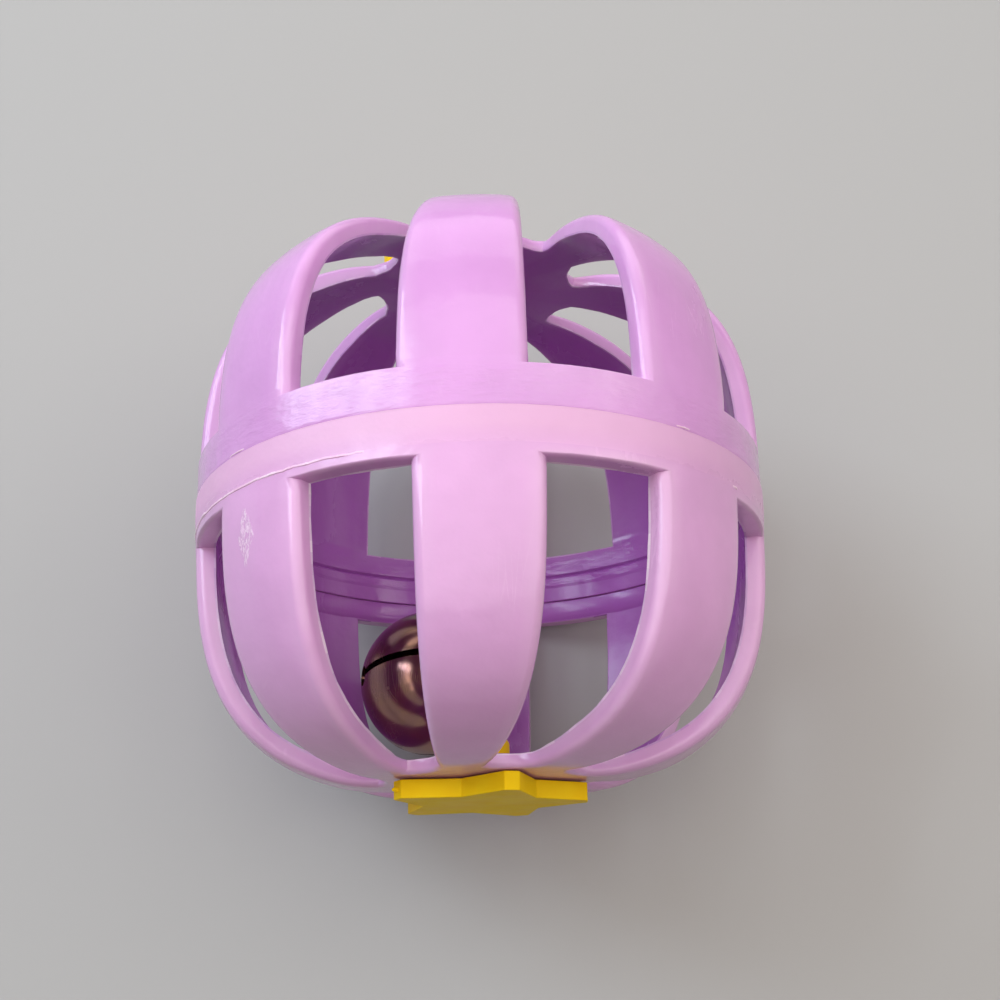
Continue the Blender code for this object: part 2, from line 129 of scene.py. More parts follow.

# Amounts of tint, roughness and height in the plastics, and the step from the front to the rear half
# The belt's tint is a painted warm reflection
BELT_REFLECTION_TINT = 0.7
# The inner flash's paleness is a painted highlight, heavier towards the lit top of the front half
FLASH_HIGHLIGHT = 0.95
SCUFF_PALENESS = 0.62
HAIRLINE_PALENESS = 0.06
STAR_HAIRLINE_PALENESS = 0.10
BELT_SATIN = 0.25
INSIDE_SATIN = 0.06
PALE_SATIN = 0.4
REAR_POLISH = -0.10
REAR_START = 0.3 * MM
FLOW_HEIGHT = 7.0
RIPPLE_HEIGHT = 2.0
WAVE_HEIGHT = 2.0
SCUFF_HEIGHT = 1.5
PEEL_HEIGHT = 0.5
SPECK_HEIGHT = 0.10

# Amounts in the metals
WIRE_ROUGHNESS = 0.26
SHEET_ROUGHNESS = 0.15
PELLET_ROUGHNESS = 0.22
PELLET_DEEPENING = 0.4
SMEAR_ROUGHNESS = 0.16
HAIRLINE_ROUGHNESS = 0.25
HAIRLINE_HEIGHT = -0.05

# Turns of the two sets of hairlines
HAIRLINE_TURNS = (0.4, 1.7)

# Area lights: place from the ball's centre, width and height, and tint
DOWN = Vector((0.0, 0.0, -1.0))
LIGHTS_FACING_DOWN = {
    "ceiling": (Vector((0.13, 0.1075, 0.36)), (0.96, 0.385), (1.0, 0.95, 0.90)),
    "front": (Vector((0.02, -0.10, 0.36)), (0.60, 0.15), (1.0, 0.93, 0.86)),
}
LIGHTS_FACING_BALL = {
    "rear": (Vector((0.05, 0.62, 0.20)), (1.0, 0.36), (1.0, 0.96, 0.94)),
    "side": (Vector((0.42, 0.10, 0.22)), (0.30, 0.30), (1.0, 0.93, 0.88)),
}

# Light of a window in panes: middle from the ball's centre, lift of each pane, size and tint of a pane
WINDOW_PLACE = Vector((-0.33, 0.20, 0.36))
PANE_LIFTS = (-0.30, -0.20, -0.10, 0.0, 0.10)
PANE_SIZE = (0.22, 0.07)
PANE_TINT = (0.72, 0.86, 1.0)

# Floor and camera
FLOOR_HALF_WIDTH = 1.5
FLOOR_SEGMENTS = 8
FLOOR_DROP = 0.05 * MM
FLOOR_DEEPENING = 0.04
FLOOR_FADE_START = 0.12
FLOOR_FADE_END = 0.45
CLIP_START = 5 * MM

# Facets and tolerances
RIB_STEPS = 5
WINDOW_STEPS = 6
RIB_SEGMENTS = 32
THINNING_SEGMENTS = 7
SMOOTHING_REACH = 22
MERIDIAN_SAMPLES = 400
ROUND_SEGMENTS = 4
INNER_ROUND_SEGMENTS = 2
CORNER_STEPS = 3
FLASH_STEPS = 720
FLASH_SIDES = 6
CUP_STEPS = 96
CUP_SEGMENTS = 24
PIN_STEPS = 48
WIRE_SIDES = 16
EYE_STEPS = 48
PELLET_SUBDIVISIONS = 4
MERGE_DISTANCE = 0.0005 * MM
SHARP_ANGLE = math.radians(40)
WINDOW_EDGE_ANGLE = math.radians(50)
CARVED_EDGE_ANGLE = math.radians(40)
CARVED_EDGE_SEGMENTS = 2
SLACK = 0.01 * MM
ANGLE_SLACK = 0.00001

# Where the outer face starts, with the outer meridian at 1, and the least part of a normal along the way out
OUTER_SHARE = 0.92
FACING = 0.3


def length(name, description, millimetres):
    """A length that a user can change, with its default in millimetres."""
    return FloatProperty(
        name=name,
        description=description,
        default=millimetres * MM,
        precision=5,
        unit="LENGTH",
        subtype="DISTANCE",
    )


def turn(name, description, degrees):
    """An angle that a user can change, with its default in degrees."""
    return FloatProperty(name=name, description=description, default=math.radians(degrees), subtype="ANGLE")


def colour(name, description, red, green, blue):
    """A colour that a user can change, in linear values."""
    return FloatVectorProperty(
        name=name,
        description=description,
        default=(red, green, blue, 1.0),
        size=4,
        min=0.0,
        max=1.0,
        subtype="COLOR",
    )


def share(name, description, value):
    """A share from 0 to 1 that a user can change."""
    return FloatProperty(
        name=name,
        description=description,
        default=value,
        min=0.0,
        max=1.0,
        subtype="FACTOR",
    )


def power(name, description, watts):
    """Power of a light that a user can change."""
    return FloatProperty(name=name, description=description, default=watts, unit="POWER")


class ToyBallCage(bpy.types.PropertyGroup):
    """Sizes and finish of the two ribbed halves"""

    shell_radius: length("Shell radius", "Outer radius of the shell at the parting plane", 22.0)
    half_height: length("Half height", "Height of the full outer meridian over the parting plane", 21.58)
    exponent: FloatProperty(
        name="Squareness",
        description="Exponent of the outer meridian",
        default=3.3,
        min=2.0,
    )
    wall: length("Wall", "Thickness of the shell", 1.5)
    hub_wall: length("Hub wall", "Thickness of the hub plate", 1.1)
    rib_count: IntProperty(name="Ribs", description="Ribs on each half", default=8, min=3)
    rib_width: length("Rib width", "Width of a rib round the parting plane", 8.95)
    band_half: length("Band", "Height of the windows' edge over the parting plane", 3.2)
    hub_flat_radius: length("Hub flat", "Radius of the flat pole", 9.8)
    hub_ring_radius: length("Hub ring", "Radius where the windows end at the pole", 7.8)
    hub_hole_radius: length("Hub hole", "Radius of the hole for the star's pin", 1.75)
    rib_lean: length("Rib lean", "Sideways lean of a rib between the band and the hub ring", 1.75)
    rib_round: length("Rib rounding", "Rounding of a rib's outer side edges at the band", 0.85)
    rib_end_round: length("Rib end rounding", "Rounding of a rib's outer side edges at the hub", 0.42)
    front_band_round: length("Front band rounding", "Rounding of the front band's window edges", 0.16)
    rear_band_round: length("Rear band rounding", "Rounding of the rear band's window edges", 0.22)
    hub_fillet: length("Hub fillet", "Fillet in the windows' corners at the hub", 1.1)
    hub_round: length("Hub rounding", "Rounding of the hub's outer edges at the windows", 0.30)
    inner_round: length("Inner rounding", "Rounding of the inner edges of the windows", 0.16)
    inner_flash: length("Inner flash", "Height of the flash on the windows' inner edges", 0.14)
    rear_turn: turn("Rear turn", "Turn of the rear half about the polar axis at rest", -2.7)
    front_colour: colour("Front lilac", "Colour of the front half's plastic", 0.75, 0.40, 0.715)
    # Painted shade: the rear half is the same plastic, set a little darker than the front to tone down its
    # brightly lit top
    rear_shaded_colour: colour("Rear lilac", "Colour of the rear half's plastic", 0.71, 0.345, 0.725)
    deepening: share("Deepening", "Darkening of the plastic's deeper patches", 0.10)
    # Painted shade: a darker, deeper lilac for the same plastic where it faces the dim inside
    inside_shade_colour: colour("Inside lilac", "Colour of the plastic on the inside", 0.46, 0.14, 0.53)
    # Painted reflection: the belt's pinker lilac stands for warm light that it reflects
    belt_colour: colour("Belt lilac", "Colour of the belt's satin surface", 0.81, 0.46, 0.69)
    # Pale lilac of scuffs and flash, also used for the highlight painted along rounded edges and on the
    # inner flash
    pale_colour: colour("Pale lilac", "Colour of thin edges, flash and scuffs", 0.97, 0.80, 0.92)
    gloss_low: share("Polished roughness", "Roughness of the clean plastic", 0.13)
    gloss_high: share("Handled roughness", "Roughness of the handled patches", 0.30)


class ToyBallSeam(bpy.types.PropertyGroup):
    """Sizes of the snap seam between the halves"""

    belt_radius: length("Belt radius", "Outer radius of the front half's belt", 22.07)
    belt_width: length("Belt width", "Height of the belt's front edge over the parting plane", 2.45)
    belt_rim: length("Belt rim", "Height of the belt's rim over the parting plane", -0.095)
    belt_inner: length("Belt inside", "Inner radius of the belt", 20.4)
    rear_rim: length("Rear rim", "Reach of the rear half's rim past the parting plane", -0.11)
    lip_radius: length("Lip radius", "Inner radius of the belt's lip", 21.3)
    lip_end: length("Lip end", "Height of the lip's end over the parting plane", 0.45)
    undercut_radius: length("Undercut radius", "Inner radius behind the lip", 21.75)
    socket_floor: length("Socket floor", "Height of the socket's floor over the parting plane", 1.27)
    tongue_inner: length("Tongue inside", "Inner radius of the tongue", 20.2)
    tongue_outer: length("Tongue outside", "Outer radius of the tongue", 21.0)
    tongue_root: length("Tongue root", "Height of the tongue's root over the parting plane", 1.1)
    tongue_length: length("Tongue length", "Reach of the tongue past the parting plane", 1.25)
    bead_radius: length("Bead radius", "Outer radius of the tongue's bead", 21.45)
    bead_length: length("Bead length", "Length of the bead along the axis", 0.5)
    flash_thickness: length("Flash thickness", "Thickness of the flash along the belt's edge", 0.26)
    flash_rough: length("Flash roughness", "Height that the flash varies by", 0.03)


class ToyBallStars(bpy.types.PropertyGroup):
    """Sizes and finish of the star caps"""

    points: IntProperty(name="Points", description="Points of a star", default=5, min=3)
    radius: length("Star radius", "Radius over the tips", 7.65)
    notch_radius: length("Notch radius", "Radius at the notches", 4.8)
    tip_width: length("Tip width", "Width of a blunt tip", 1.1)
    thickness: length("Thickness", "Thickness of the star plate", 1.40)
    edge_round: length("Edge rounding", "Rounding of the star's edges", 0.09)
    nib_width: length("Nib width", "Width and thickness of the gate nib left on one tip", 0.40)
    nib_length: length("Nib length", "Length of the gate nib left on one tip", 0.45)
    stem_radius: length("Stem radius", "Radius of the pin through the hub", 1.45)
    head_radius: length("Head radius", "Radius of the pin's snap head", 1.85)
    head_start: length("Head start", "Distance of the snap head from the star's outer face", 3.32)
    head_length: length("Head length", "Length of the snap head", 1.8)
    front_turn: turn("Front turn", "Turn of the front star", 14.0)
    rear_turn: turn("Rear turn", "Turn of the rear star", -32.0)
    lit_colour: colour("Yellow", "Colour of the stars", 1.0, 0.70, 0.014)
    deep_colour: colour("Deep yellow", "Colour of the stars' deeper patches", 0.96, 0.62, 0.008)
    pale_colour: colour("Pale yellow", "Colour of the stars' hairlines", 0.97, 0.78, 0.22)


class ToyBallBell(bpy.types.PropertyGroup):
    """Sizes and finish of the bell"""

    radius: length("Bell radius", "Outer radius of the bell", 6.2)
    wall: length("Sheet", "Thickness of the bell's sheet", 0.45)
    lap: length("Lap", "Length by which the cups lap", 0.8)
    gap: length("Gap", "Clearance between the bell's pieces", 0.3)
    slot_width: length("Slot width", "Width of the sound slot", 0.6)
    slot_half_angle: turn("Slot half angle", "Angle from the pole to each end of the slot", 56.0)
    hole_radius: length("Hole radius", "Radius of the round hole at each end of the slot", 0.85)
    lip_round: length("Lip rounding", "Rounding of the slot's and holes' edges", 0.09)
    eye_radius: length("Eye radius", "Radius of the eye to the middle of its wire", 0.65)
    wire_radius: length("Wire radius", "Radius of the eye's wire", 0.3)
    rivet_radius: length("Rivet radius", "Radius of the rivet head inside the crown", 1.2)
    rivet_thickness: length("Rivet thickness", "Thickness of the rivet head", 0.4)
    pellet_radius: length("Pellet radius", "Radius of the pellet", 2.0)
    pellet_drop: length("Pellet drop", "Distance of the pellet below the bell's centre", 2.7)
    slot_pole: FloatVectorProperty(
        name="Slot pole",
        description="Direction from the bell's centre to the middle of the slot",
        default=(-0.300, 0.211, 0.930),
        subtype="DIRECTION",
    )
    slot_normal: FloatVectorProperty(
        name="Slot normal",
        description="Direction across the slot",
        default=(0.0, -0.976, 0.221),
        subtype="DIRECTION",
    )
    sheet_colour: colour("Plating", "Colour of the plated sheet", 0.31, 0.165, 0.12)
    dull_colour: colour("Dull plating", "Colour of the plating's dull patches", 0.24, 0.12, 0.14)
    wire_colour: colour("Wire", "Colour of the eye's wire", 0.58, 0.44, 0.32)
    pellet_colour: colour("Steel", "Colour of the pellet", 0.55, 0.55, 0.56)


class ToyBallStage(bpy.types.PropertyGroup):
    """Camera, lights and floor"""

    lens: FloatProperty(
        name="Lens",
        description="Focal length in millimetres",
        default=49.01,
        subtype="DISTANCE_CAMERA",
    )
    frame_shift: FloatProperty(
        name="Shift",
        description="Upward shift of the camera's frame",
        default=0.167,
    )
    camera_place: FloatVectorProperty(
        name="Camera place",
        description="Place of the camera from the ball's centre",
        default=(-0.001 * MM, -36.336 * MM, 102.506 * MM),
        subtype="TRANSLATION",
        unit="LENGTH",
    )
    camera_turn: FloatVectorProperty(
        name="Camera turn",
        description="Turn of the camera from looking straight down",
        default=(math.radians(13.392), math.radians(-0.388), math.radians(-1.360)),
        subtype="EULER",
    )
    ceiling_power: power("Ceiling", "Power of the soft light overhead", 1.92)
    front_power: power("Front", "Power of the dim light over the front", 0.38)
    rear_power: power("Rear", "Power of the light behind", 1.2)
    side_power: power("Side", "Power of the faint light at the right", 0.2)
    window_power: power("Window", "Power of the light at the left rear", 1.7)
    room_strength: FloatProperty(
        name="Room",
        description="Strength of the light from all round",
        default=0.08,
    )
    floor_colour: colour("Floor", "Colour of the floor", 0.46, 0.457, 0.453)
    room_colour: colour("Room", "Colour of the light from all round", 1.0, 0.88, 0.78)
    backdrop_colour: colour("Backdrop", "Colour of the distance behind the floor", 0.50, 0.50, 0.495)


# Shader nodes


def add_node(tree, kind, inputs=None, **settings):
    """New node with its settings, and its inputs set to values or linked to sockets."""
    node = tree.nodes.new(kind)
    for name, value in settings.items():
        setattr(node, name, value)
    for name, value in (inputs or {}).items():
        if isinstance(value, bpy.types.NodeSocket):
            tree.links.new(value, node.inputs[name])
        else:
            node.inputs[name].default_value = value
    return node


def set_inputs(shader, values):
    """Sets a shader's own inputs."""
    for name, value in values.items():
        shader[name].default_value = value


def calculate(tree, operation, a, b):
    """Output of a Math node."""
    return add_node(tree, "ShaderNodeMath", {0: a, 1: b}, operation=operation).outputs[0]


def times(tree, a, b):
    """Product of two values."""
    return calculate(tree, "MULTIPLY", a, b)


def plus(tree, total, *more):
    """Sum of values."""
    for value in more:
        total = calculate(tree, "ADD", total, value)
    return total


def larger(tree, a, b):
    """Larger of two values."""
    return calculate(tree, "MAXIMUM", a, b)


def vector_math(tree, operation, *vectors):
    """Outputs of a Vector Math node."""
    return add_node(tree, "ShaderNodeVectorMath", dict(enumerate(vectors)), operation=operation).outputs


def attribute(tree, name):
    """Value that a layer of the mesh holds."""
    return add_node(tree, "ShaderNodeAttribute", attribute_name=name).outputs["Fac"]


def ramp(tree, value, low, high, start=0.0, end=1.0):
    """Value from low to high, taken to start to end and clamped."""
    inputs = {"Value": value, "From Min": low, "From Max": high, "To Min": start, "To Max": end}
    return add_node(tree, "ShaderNodeMapRange", inputs).outputs["Result"]


def spread(tree, value, start, end):
    """Value from 0 to 1, taken to start to end."""
    return ramp(tree, value, 0.0, 1.0, start, end)


def blend_colours(tree, factor, a, b):
    """Colour between two colours."""
    return add_node(tree, "ShaderNodeMix", {0: factor, 6: a, 7: b}, data_type="RGBA").outputs[2]


def grain(tree, vector, scale, detail, roughness=0.5):
    """Noise value at a scale, which is per metre on Object coordinates."""
    inputs = {"Vector": vector, "Scale": scale, "Detail": detail, "Roughness": roughness}
    return add_node(tree, "ShaderNodeTexNoise", inputs).outputs["Fac"]


def cell_edges(tree, vector, scale):
    """Distance from the edges of irregular cells."""
    inputs = {"Vector": vector, "Scale": scale, "Randomness": 1.0}
    return add_node(tree, "ShaderNodeTexVoronoi", inputs, feature="DISTANCE_TO_EDGE").outputs["Distance"]


def stretched(tree, vector, scale, rotation=(0.0, 0.0, 0.0)):
    """Coordinates turned and stretched."""
    inputs = {"Vector": vector, "Rotation": rotation, "Scale": scale}
    return add_node(tree, "ShaderNodeMapping", inputs).outputs["Vector"]


def new_group(name, scales, outputs):
    """Shader node group with a Vector, scales and outputs, and the sockets of its end nodes."""
    tree = bpy.data.node_groups.new(name, "ShaderNodeTree")
    tree.interface.new_socket(name="Vector", in_out="INPUT", socket_type="NodeSocketVector")
    for label in scales:
        tree.interface.new_socket(name=label, in_out="INPUT", socket_type="NodeSocketFloat")
    for label in outputs:
        tree.interface.new_socket(name=label, in_out="OUTPUT", socket_type="NodeSocketFloat")
    return tree, tree.nodes.new("NodeGroupInput").outputs, tree.nodes.new("NodeGroupOutput").inputs


def place_group(tree, name, build, inputs):
    """Outputs of a node that uses a shared group with its own values. The group is built on first use."""
    group = bpy.data.node_groups.get(name) or build(name)
    return add_node(tree, "ShaderNodeGroup", inputs, node_tree=group).outputs


def build_surface_drift(name):
    """Slow drift of tint, gloss and level that any moulded or pressed surface has."""
    tree, given, wanted = new_group(name, ["Patch Scale", "Ripple Scale"], ["Patches", "Smears", "Ripple"])
    place = given["Vector"]
    patches = grain(tree, place, given["Patch Scale"], detail=3.0)
    tree.links.new(ramp(tree, patches, low=0.36, high=0.66), wanted["Patches"])
    along = stretched(tree, place, scale=(1.0, 0.3, 1.0), rotation=(0.3, 0.5, 0.9))
    smears = grain(tree, along, given["Patch Scale"], detail=6.0, roughness=0.62)
    tree.links.new(ramp(tree, smears, low=0.40, high=0.72), wanted["Smears"])
    tree.links.new(grain(tree, place, given["Ripple Scale"], detail=1.0), wanted["Ripple"])
    return tree


def surface_drift(tree, place, patch_scale, ripple_scale):
    """Outputs of the drift group, placed with its own scales."""
    inputs = {"Vector": place, "Patch Scale": patch_scale, "Ripple Scale": ripple_scale}
    return place_group(tree, "surface_drift", build_surface_drift, inputs)


def build_handling_marks(name):
    """Hairline scratches and tiny specks from play."""
    tree, given, wanted = new_group(name, ["Mark Scale"], ["Hairlines", "Specks"])
    place = given["Vector"]
    lines = []
    for angle in HAIRLINE_TURNS:
        along = stretched(tree, place, scale=(1.0, 0.06, 0.4), rotation=(angle, 0.6 * angle, angle))
        edges = cell_edges(tree, along, given["Mark Scale"])
        lines.append(ramp(tree, edges, low=0.0, high=0.012, start=1.0, end=0.0))
    where = ramp(tree, grain(tree, place, scale=160.0, detail=2.0), low=0.52, high=0.68)
    tree.links.new(times(tree, larger(tree, *lines), where), wanted["Hairlines"])
    dots = add_node(tree, "ShaderNodeTexVoronoi", {"Vector": place, "Scale": given["Mark Scale"]})
    specks = ramp(tree, dots.outputs["Distance"], low=0.05, high=0.10, start=1.0, end=0.0)
    tree.links.new(specks, wanted["Specks"])
    return tree


def handling_marks(tree, place, mark_scale):
    """Outputs of the group of marks, placed with its own scale."""
    inputs = {"Vector": place, "Mark Scale": mark_scale}
    return place_group(tree, "handling_marks", build_handling_marks, inputs)


def start_material(name):
    """New material, its tree, its shader's inputs and its Object coordinates."""
    material = bpy.data.materials.new(name)
    material.use_nodes = True
    tree = material.node_tree
    shader = tree.nodes["Principled BSDF"].inputs
    place = add_node(tree, "ShaderNodeTexCoord").outputs["Object"]
    return material, tree, shader, place


def raise_surface(tree, shader, height, distance):
    """Bump of a height on the shader."""
    bump = add_node(tree, "ShaderNodeBump", {"Height": height, "Strength": 1.0, "Distance": distance})
    tree.links.new(bump.outputs["Normal"], shader["Normal"])


def scuff_mask(tree, place):
    """Scribbled pale flakes of one rubbed spot: fine bent strokes in a ragged diamond."""
    inputs = {
        "Vector": place,
        "Location": BALL_CENTRE + SCUFF_PLACE,
        "Rotation": (0.0, SCUFF_TURN, 0.0),
        "Scale": SCUFF_REACH,
    }
    spot = add_node(tree, "ShaderNodeMapping", inputs, vector_type="TEXTURE").outputs["Vector"]
    sides = vector_math(tree, "ABSOLUTE", spot)["Vector"]
    reached = vector_math(tree, "DOT_PRODUCT", sides, SCUFF_DIAMOND)["Value"]
    ragged = spread(tree, grain(tree, spot, scale=2.6, detail=4.0, roughness=0.6), start=-0.55, end=0.55)
    within = ramp(tree, plus(tree, reached, ragged), low=0.82, high=0.98, start=1.0, end=0.0)
    bend = add_node(tree, "ShaderNodeTexNoise", {"Vector": spot, "Scale": 2.4, "Detail": 3.0})
    bent = vector_math(tree, "ADD", spot, bend.outputs["Color"])["Vector"]
    along = stretched(tree, bent, scale=(2.1, 1.0, 1.0), rotation=(0.0, 0.0, 0.3))
    strokes = ramp(tree, cell_edges(tree, along, scale=1.7), low=0.02, high=0.12, start=1.0, end=0.0)
    patches = grain(tree, along, scale=1.8, detail=4.0, roughness=0.7)
    flakes = ramp(tree, patches, low=0.50, high=0.62, start=0.0, end=0.6)
    return times(tree, within, larger(tree, strokes, flakes))


def flow_marks(tree, place, band):
    """Height of the flow marks that run round a band."""
    along = stretched(tree, place, scale=(0.35, 1.0, 0.35))
    marks = grain(tree, along, scale=1500.0, detail=4.0, roughness=0.6)
    return times(tree, times(tree, marks, FLOW_HEIGHT), band)


def deeper(given, amount):
    """A colour darkened by an amount."""
    return tuple(part * (1 - amount) for part in given[:3]) + (1.0,)


def lilac_moulding(name, cage, half_lilac):
    """Glossy lilac plastic with a highlight painted on its rounded edges and inner flash, shade painted
    inside in a darker lilac, a warm reflection painted as a pinker belt, and one scuffed rib on the front
    half.
    """
    material, tree, shader, place = start_material(name)
    drift = surface_drift(tree, place, patch_scale=130.0, ripple_scale=420.0)
    marks = handling_marks(tree, place, mark_scale=700.0)
    scuff = scuff_mask(tree, place)
    edge = attribute(tree, "edge")
    flash = attribute(tree, "flash")
    inside = attribute(tree, "inside")
    axes = add_node(tree, "ShaderNodeSeparateXYZ", {"Vector": place}).outputs
    band = cage.band_half
    on_rear = ramp(tree, axes["Y"], low=0.0, high=REAR_START)
    on_band = ramp(tree, axes["Y"], low=0.8 * band, high=1.1 * band, start=1.0, end=0.0)

    # The belt's satin and its pinker tint, a painted warm reflection, fade towards its front edge and
    # towards the right side
    faded = ramp(tree, axes["Y"], low=-0.78 * band, high=-0.35 * band, start=0.25, end=1.0)
    handled = ramp(tree, axes["X"], low=5.0 * MM, high=17.0 * MM, start=1.0, end=0.5)
    belt = times(tree, times(tree, attribute(tree, "belt"), faded), handled)

    # Colour
    outside = blend_colours(tree, drift["Patches"], deeper(half_lilac, cage.deepening), tuple(half_lilac))
    # Painted reflection: the belt is tinted pinker for the warm light it reflects
    belt_reflected = blend_colours(tree, times(tree, belt, BELT_REFLECTION_TINT), outside, tuple(cage.belt_colour))
    # Painted shade: the inside faces take the darker inside lilac
    body = blend_colours(tree, inside, belt_reflected, tuple(cage.inside_shade_colour))
    # Painted highlight: the rounded edges and the inner flash are paled, as if they caught the light
    thin = times(tree, edge, spread(tree, drift["Smears"], start=0.05, end=0.20))
    thin = larger(tree, thin, times(tree, flash, FLASH_HIGHLIGHT))
    edge_highlighted = blend_colours(tree, thin, body, tuple(cage.pale_colour))
    hairlines = times(tree, marks["Hairlines"], HAIRLINE_PALENESS)
    pale = larger(tree, times(tree, scuff, SCUFF_PALENESS), hairlines)
    tree.links.new(blend_colours(tree, pale, edge_highlighted, tuple(cage.pale_colour)), shader["Base Color"])

    # Roughness, lower on the rear half's band and on its rounded edges
    gloss = spread(tree, drift["Smears"], cage.gloss_low, cage.gloss_high)
    satin = plus(tree, times(tree, belt, BELT_SATIN), times(tree, inside, INSIDE_SATIN))
    shiny = times(tree, larger(tree, on_band, edge), on_rear)
    polish = times(tree, shiny, REAR_POLISH)
    rough = plus(tree, gloss, times(tree, pale, PALE_SATIN), satin, polish)
    tree.links.new(rough, shader["Roughness"])
    tree.links.new(spread(tree, belt, start=0.15, end=0.0), shader["Coat Weight"])

    # Height
    ripple = times(tree, drift["Ripple"], RIPPLE_HEIGHT)
    waves = times(tree, grain(tree, place, scale=1000.0, detail=2.0), WAVE_HEIGHT)
    flow = flow_marks(tree, place, times(tree, on_band, on_rear))
    specks = times(tree, marks["Specks"], SPECK_HEIGHT)
    peel = times(tree, grain(tree, place, scale=3200.0, detail=2.0), times(tree, belt, PEEL_HEIGHT))
    flakes = times(tree, scuff, SCUFF_HEIGHT)
    height = plus(tree, ripple, waves, flow, specks, peel, flakes)
    raise_surface(tree, shader, height, distance=0.015 * MM)

    amounts = {
        "Coat Roughness": 0.05,
        "Specular IOR Level": 0.45,
        "Subsurface Weight": 0.12,
        "Subsurface Radius": (1.0, 0.6, 1.0),
        "Subsurface Scale": 1.2 * MM,
    }
    set_inputs(shader, amounts)
    return material


def lilac_flash(cage):
    """Thin flash of the same plastic, paler partly of itself and partly as a painted highlight where the
    ridge catches the light.
    """
    material, tree, shader, place = start_material("lilac_flash")
    drift = surface_drift(tree, place, patch_scale=500.0, ripple_scale=2500.0)
    # Partly painted highlight: the flash is paled in patches, as if its ridge caught the light
    paleness_and_highlight = spread(tree, drift["Patches"], start=0.1, end=0.75)
    body = blend_colours(tree, paleness_and_highlight, tuple(cage.belt_colour), tuple(cage.pale_colour))
    tree.links.new(body, shader["Base Color"])
    tree.links.new(spread(tree, drift["Smears"], start=0.25, end=0.45), shader["Roughness"])
    raise_surface(tree, shader, drift["Ripple"], distance=0.02 * MM)
    return material


def yellow_moulding(stars):
    """Satin yellow plastic with faint hairlines."""
    material, tree, shader, place = start_material("yellow_moulding")
    drift = surface_drift(tree, place, patch_scale=260.0, ripple_scale=900.0)
    marks = handling_marks(tree, place, mark_scale=900.0)
    body = blend_colours(tree, drift["Patches"], tuple(stars.deep_colour), tuple(stars.lit_colour))
    rubbed = times(tree, marks["Hairlines"], STAR_HAIRLINE_PALENESS)
    tree.links.new(blend_colours(tree, rubbed, body, tuple(stars.pale_colour)), shader["Base Color"])
    tree.links.new(spread(tree, drift["Smears"], start=0.35, end=0.55), shader["Roughness"])
    height = plus(tree, drift["Ripple"], times(tree, marks["Specks"], SPECK_HEIGHT))
    raise_surface(tree, shader, height, distance=0.005 * MM)
    amounts = {
        "Specular IOR Level": 0.03,
        "Subsurface Weight": 0.06,
        "Subsurface Radius": (1.0, 0.7, 0.1),
        "Subsurface Scale": 0.6 * MM,
    }
    set_inputs(shader, amounts)
    return material


def worked_metal(name, bright_colour, dull_colour, roughness):
    """Plated sheet, wire or steel: bright and dull patches, hairlines and a faint unevenness."""
    material, tree, shader, place = start_material(name)
    drift = surface_drift(tree, place, patch_scale=420.0, ripple_scale=520.0)
    marks = handling_marks(tree, place, mark_scale=1500.0)
    patches = spread(tree, drift["Patches"], start=0.15, end=1.0)
    body = blend_colours(tree, patches, tuple(dull_colour), tuple(bright_colour))
    tree.links.new(body, shader["Base Color"])
    smeared = spread(tree, drift["Smears"], roughness, roughness + SMEAR_ROUGHNESS)
    rough = plus(tree, smeared, times(tree, marks["Hairlines"], HAIRLINE_ROUGHNESS))
    tree.links.new(rough, shader["Roughness"])
    height = plus(tree, drift["Ripple"], times(tree, marks["Hairlines"], HAIRLINE_HEIGHT))
    raise_surface(tree, shader, height, distance=0.02 * MM)
    set_inputs(shader, {"Metallic": 1.0})
    return material


def mix_shaders(tree, factor, a, b, output):
    """Sends a mix of two shader nodes to an output node."""
    both = add_node(tree, "ShaderNodeMixShader", {0: factor, 1: a.outputs[0], 2: b.outputs[0]})
    tree.links.new(both.outputs[0], tree.nodes[output].inputs["Surface"])


def seen_directly(tree):
    """1 where the camera, a reflection or a clear piece looks at the world, 0 where it only gives light."""
    path = add_node(tree, "ShaderNodeLightPath").outputs
    through = larger(tree, path["Is Glossy Ray"], path["Is Transmission Ray"])
    return larger(tree, path["Is Camera Ray"], through)


def pale_room(stage):
    """World that lights dimly from all round and shows a pale backdrop."""
    world = bpy.data.worlds.new("room")
    world.use_nodes = True
    tree = world.node_tree
    dim = tree.nodes["Background"]
    set_inputs(dim.inputs, {"Color": stage.room_colour, "Strength": stage.room_strength})
    shown = add_node(tree, "ShaderNodeBackground", {"Color": stage.backdrop_colour})
    mix_shaders(tree, seen_directly(tree), dim, shown, "World Output")
    return world


def pale_floor(stage):
    """Plain matt floor that runs out into the backdrop."""
    material, tree, shader, place = start_material("pale_floor")
    tone = grain(tree, place, scale=9.0, detail=3.0)
    deep = deeper(stage.floor_colour, FLOOR_DEEPENING)
    tree.links.new(blend_colours(tree, tone, deep, tuple(stage.floor_colour)), shader["Base Color"])
    set_inputs(shader, {"Roughness": 0.9})
    away = vector_math(tree, "LENGTH", place)["Value"]
    shown = add_node(tree, "ShaderNodeLightPath").outputs["Is Camera Ray"]
    far = times(tree, ramp(tree, away, FLOOR_FADE_START, FLOOR_FADE_END), shown)
    glow = add_node(tree, "ShaderNodeEmission", {"Color": stage.backdrop_colour})
    mix_shaders(tree, far, tree.nodes["Principled BSDF"], glow, "Material Output")
    return material


# Meshes


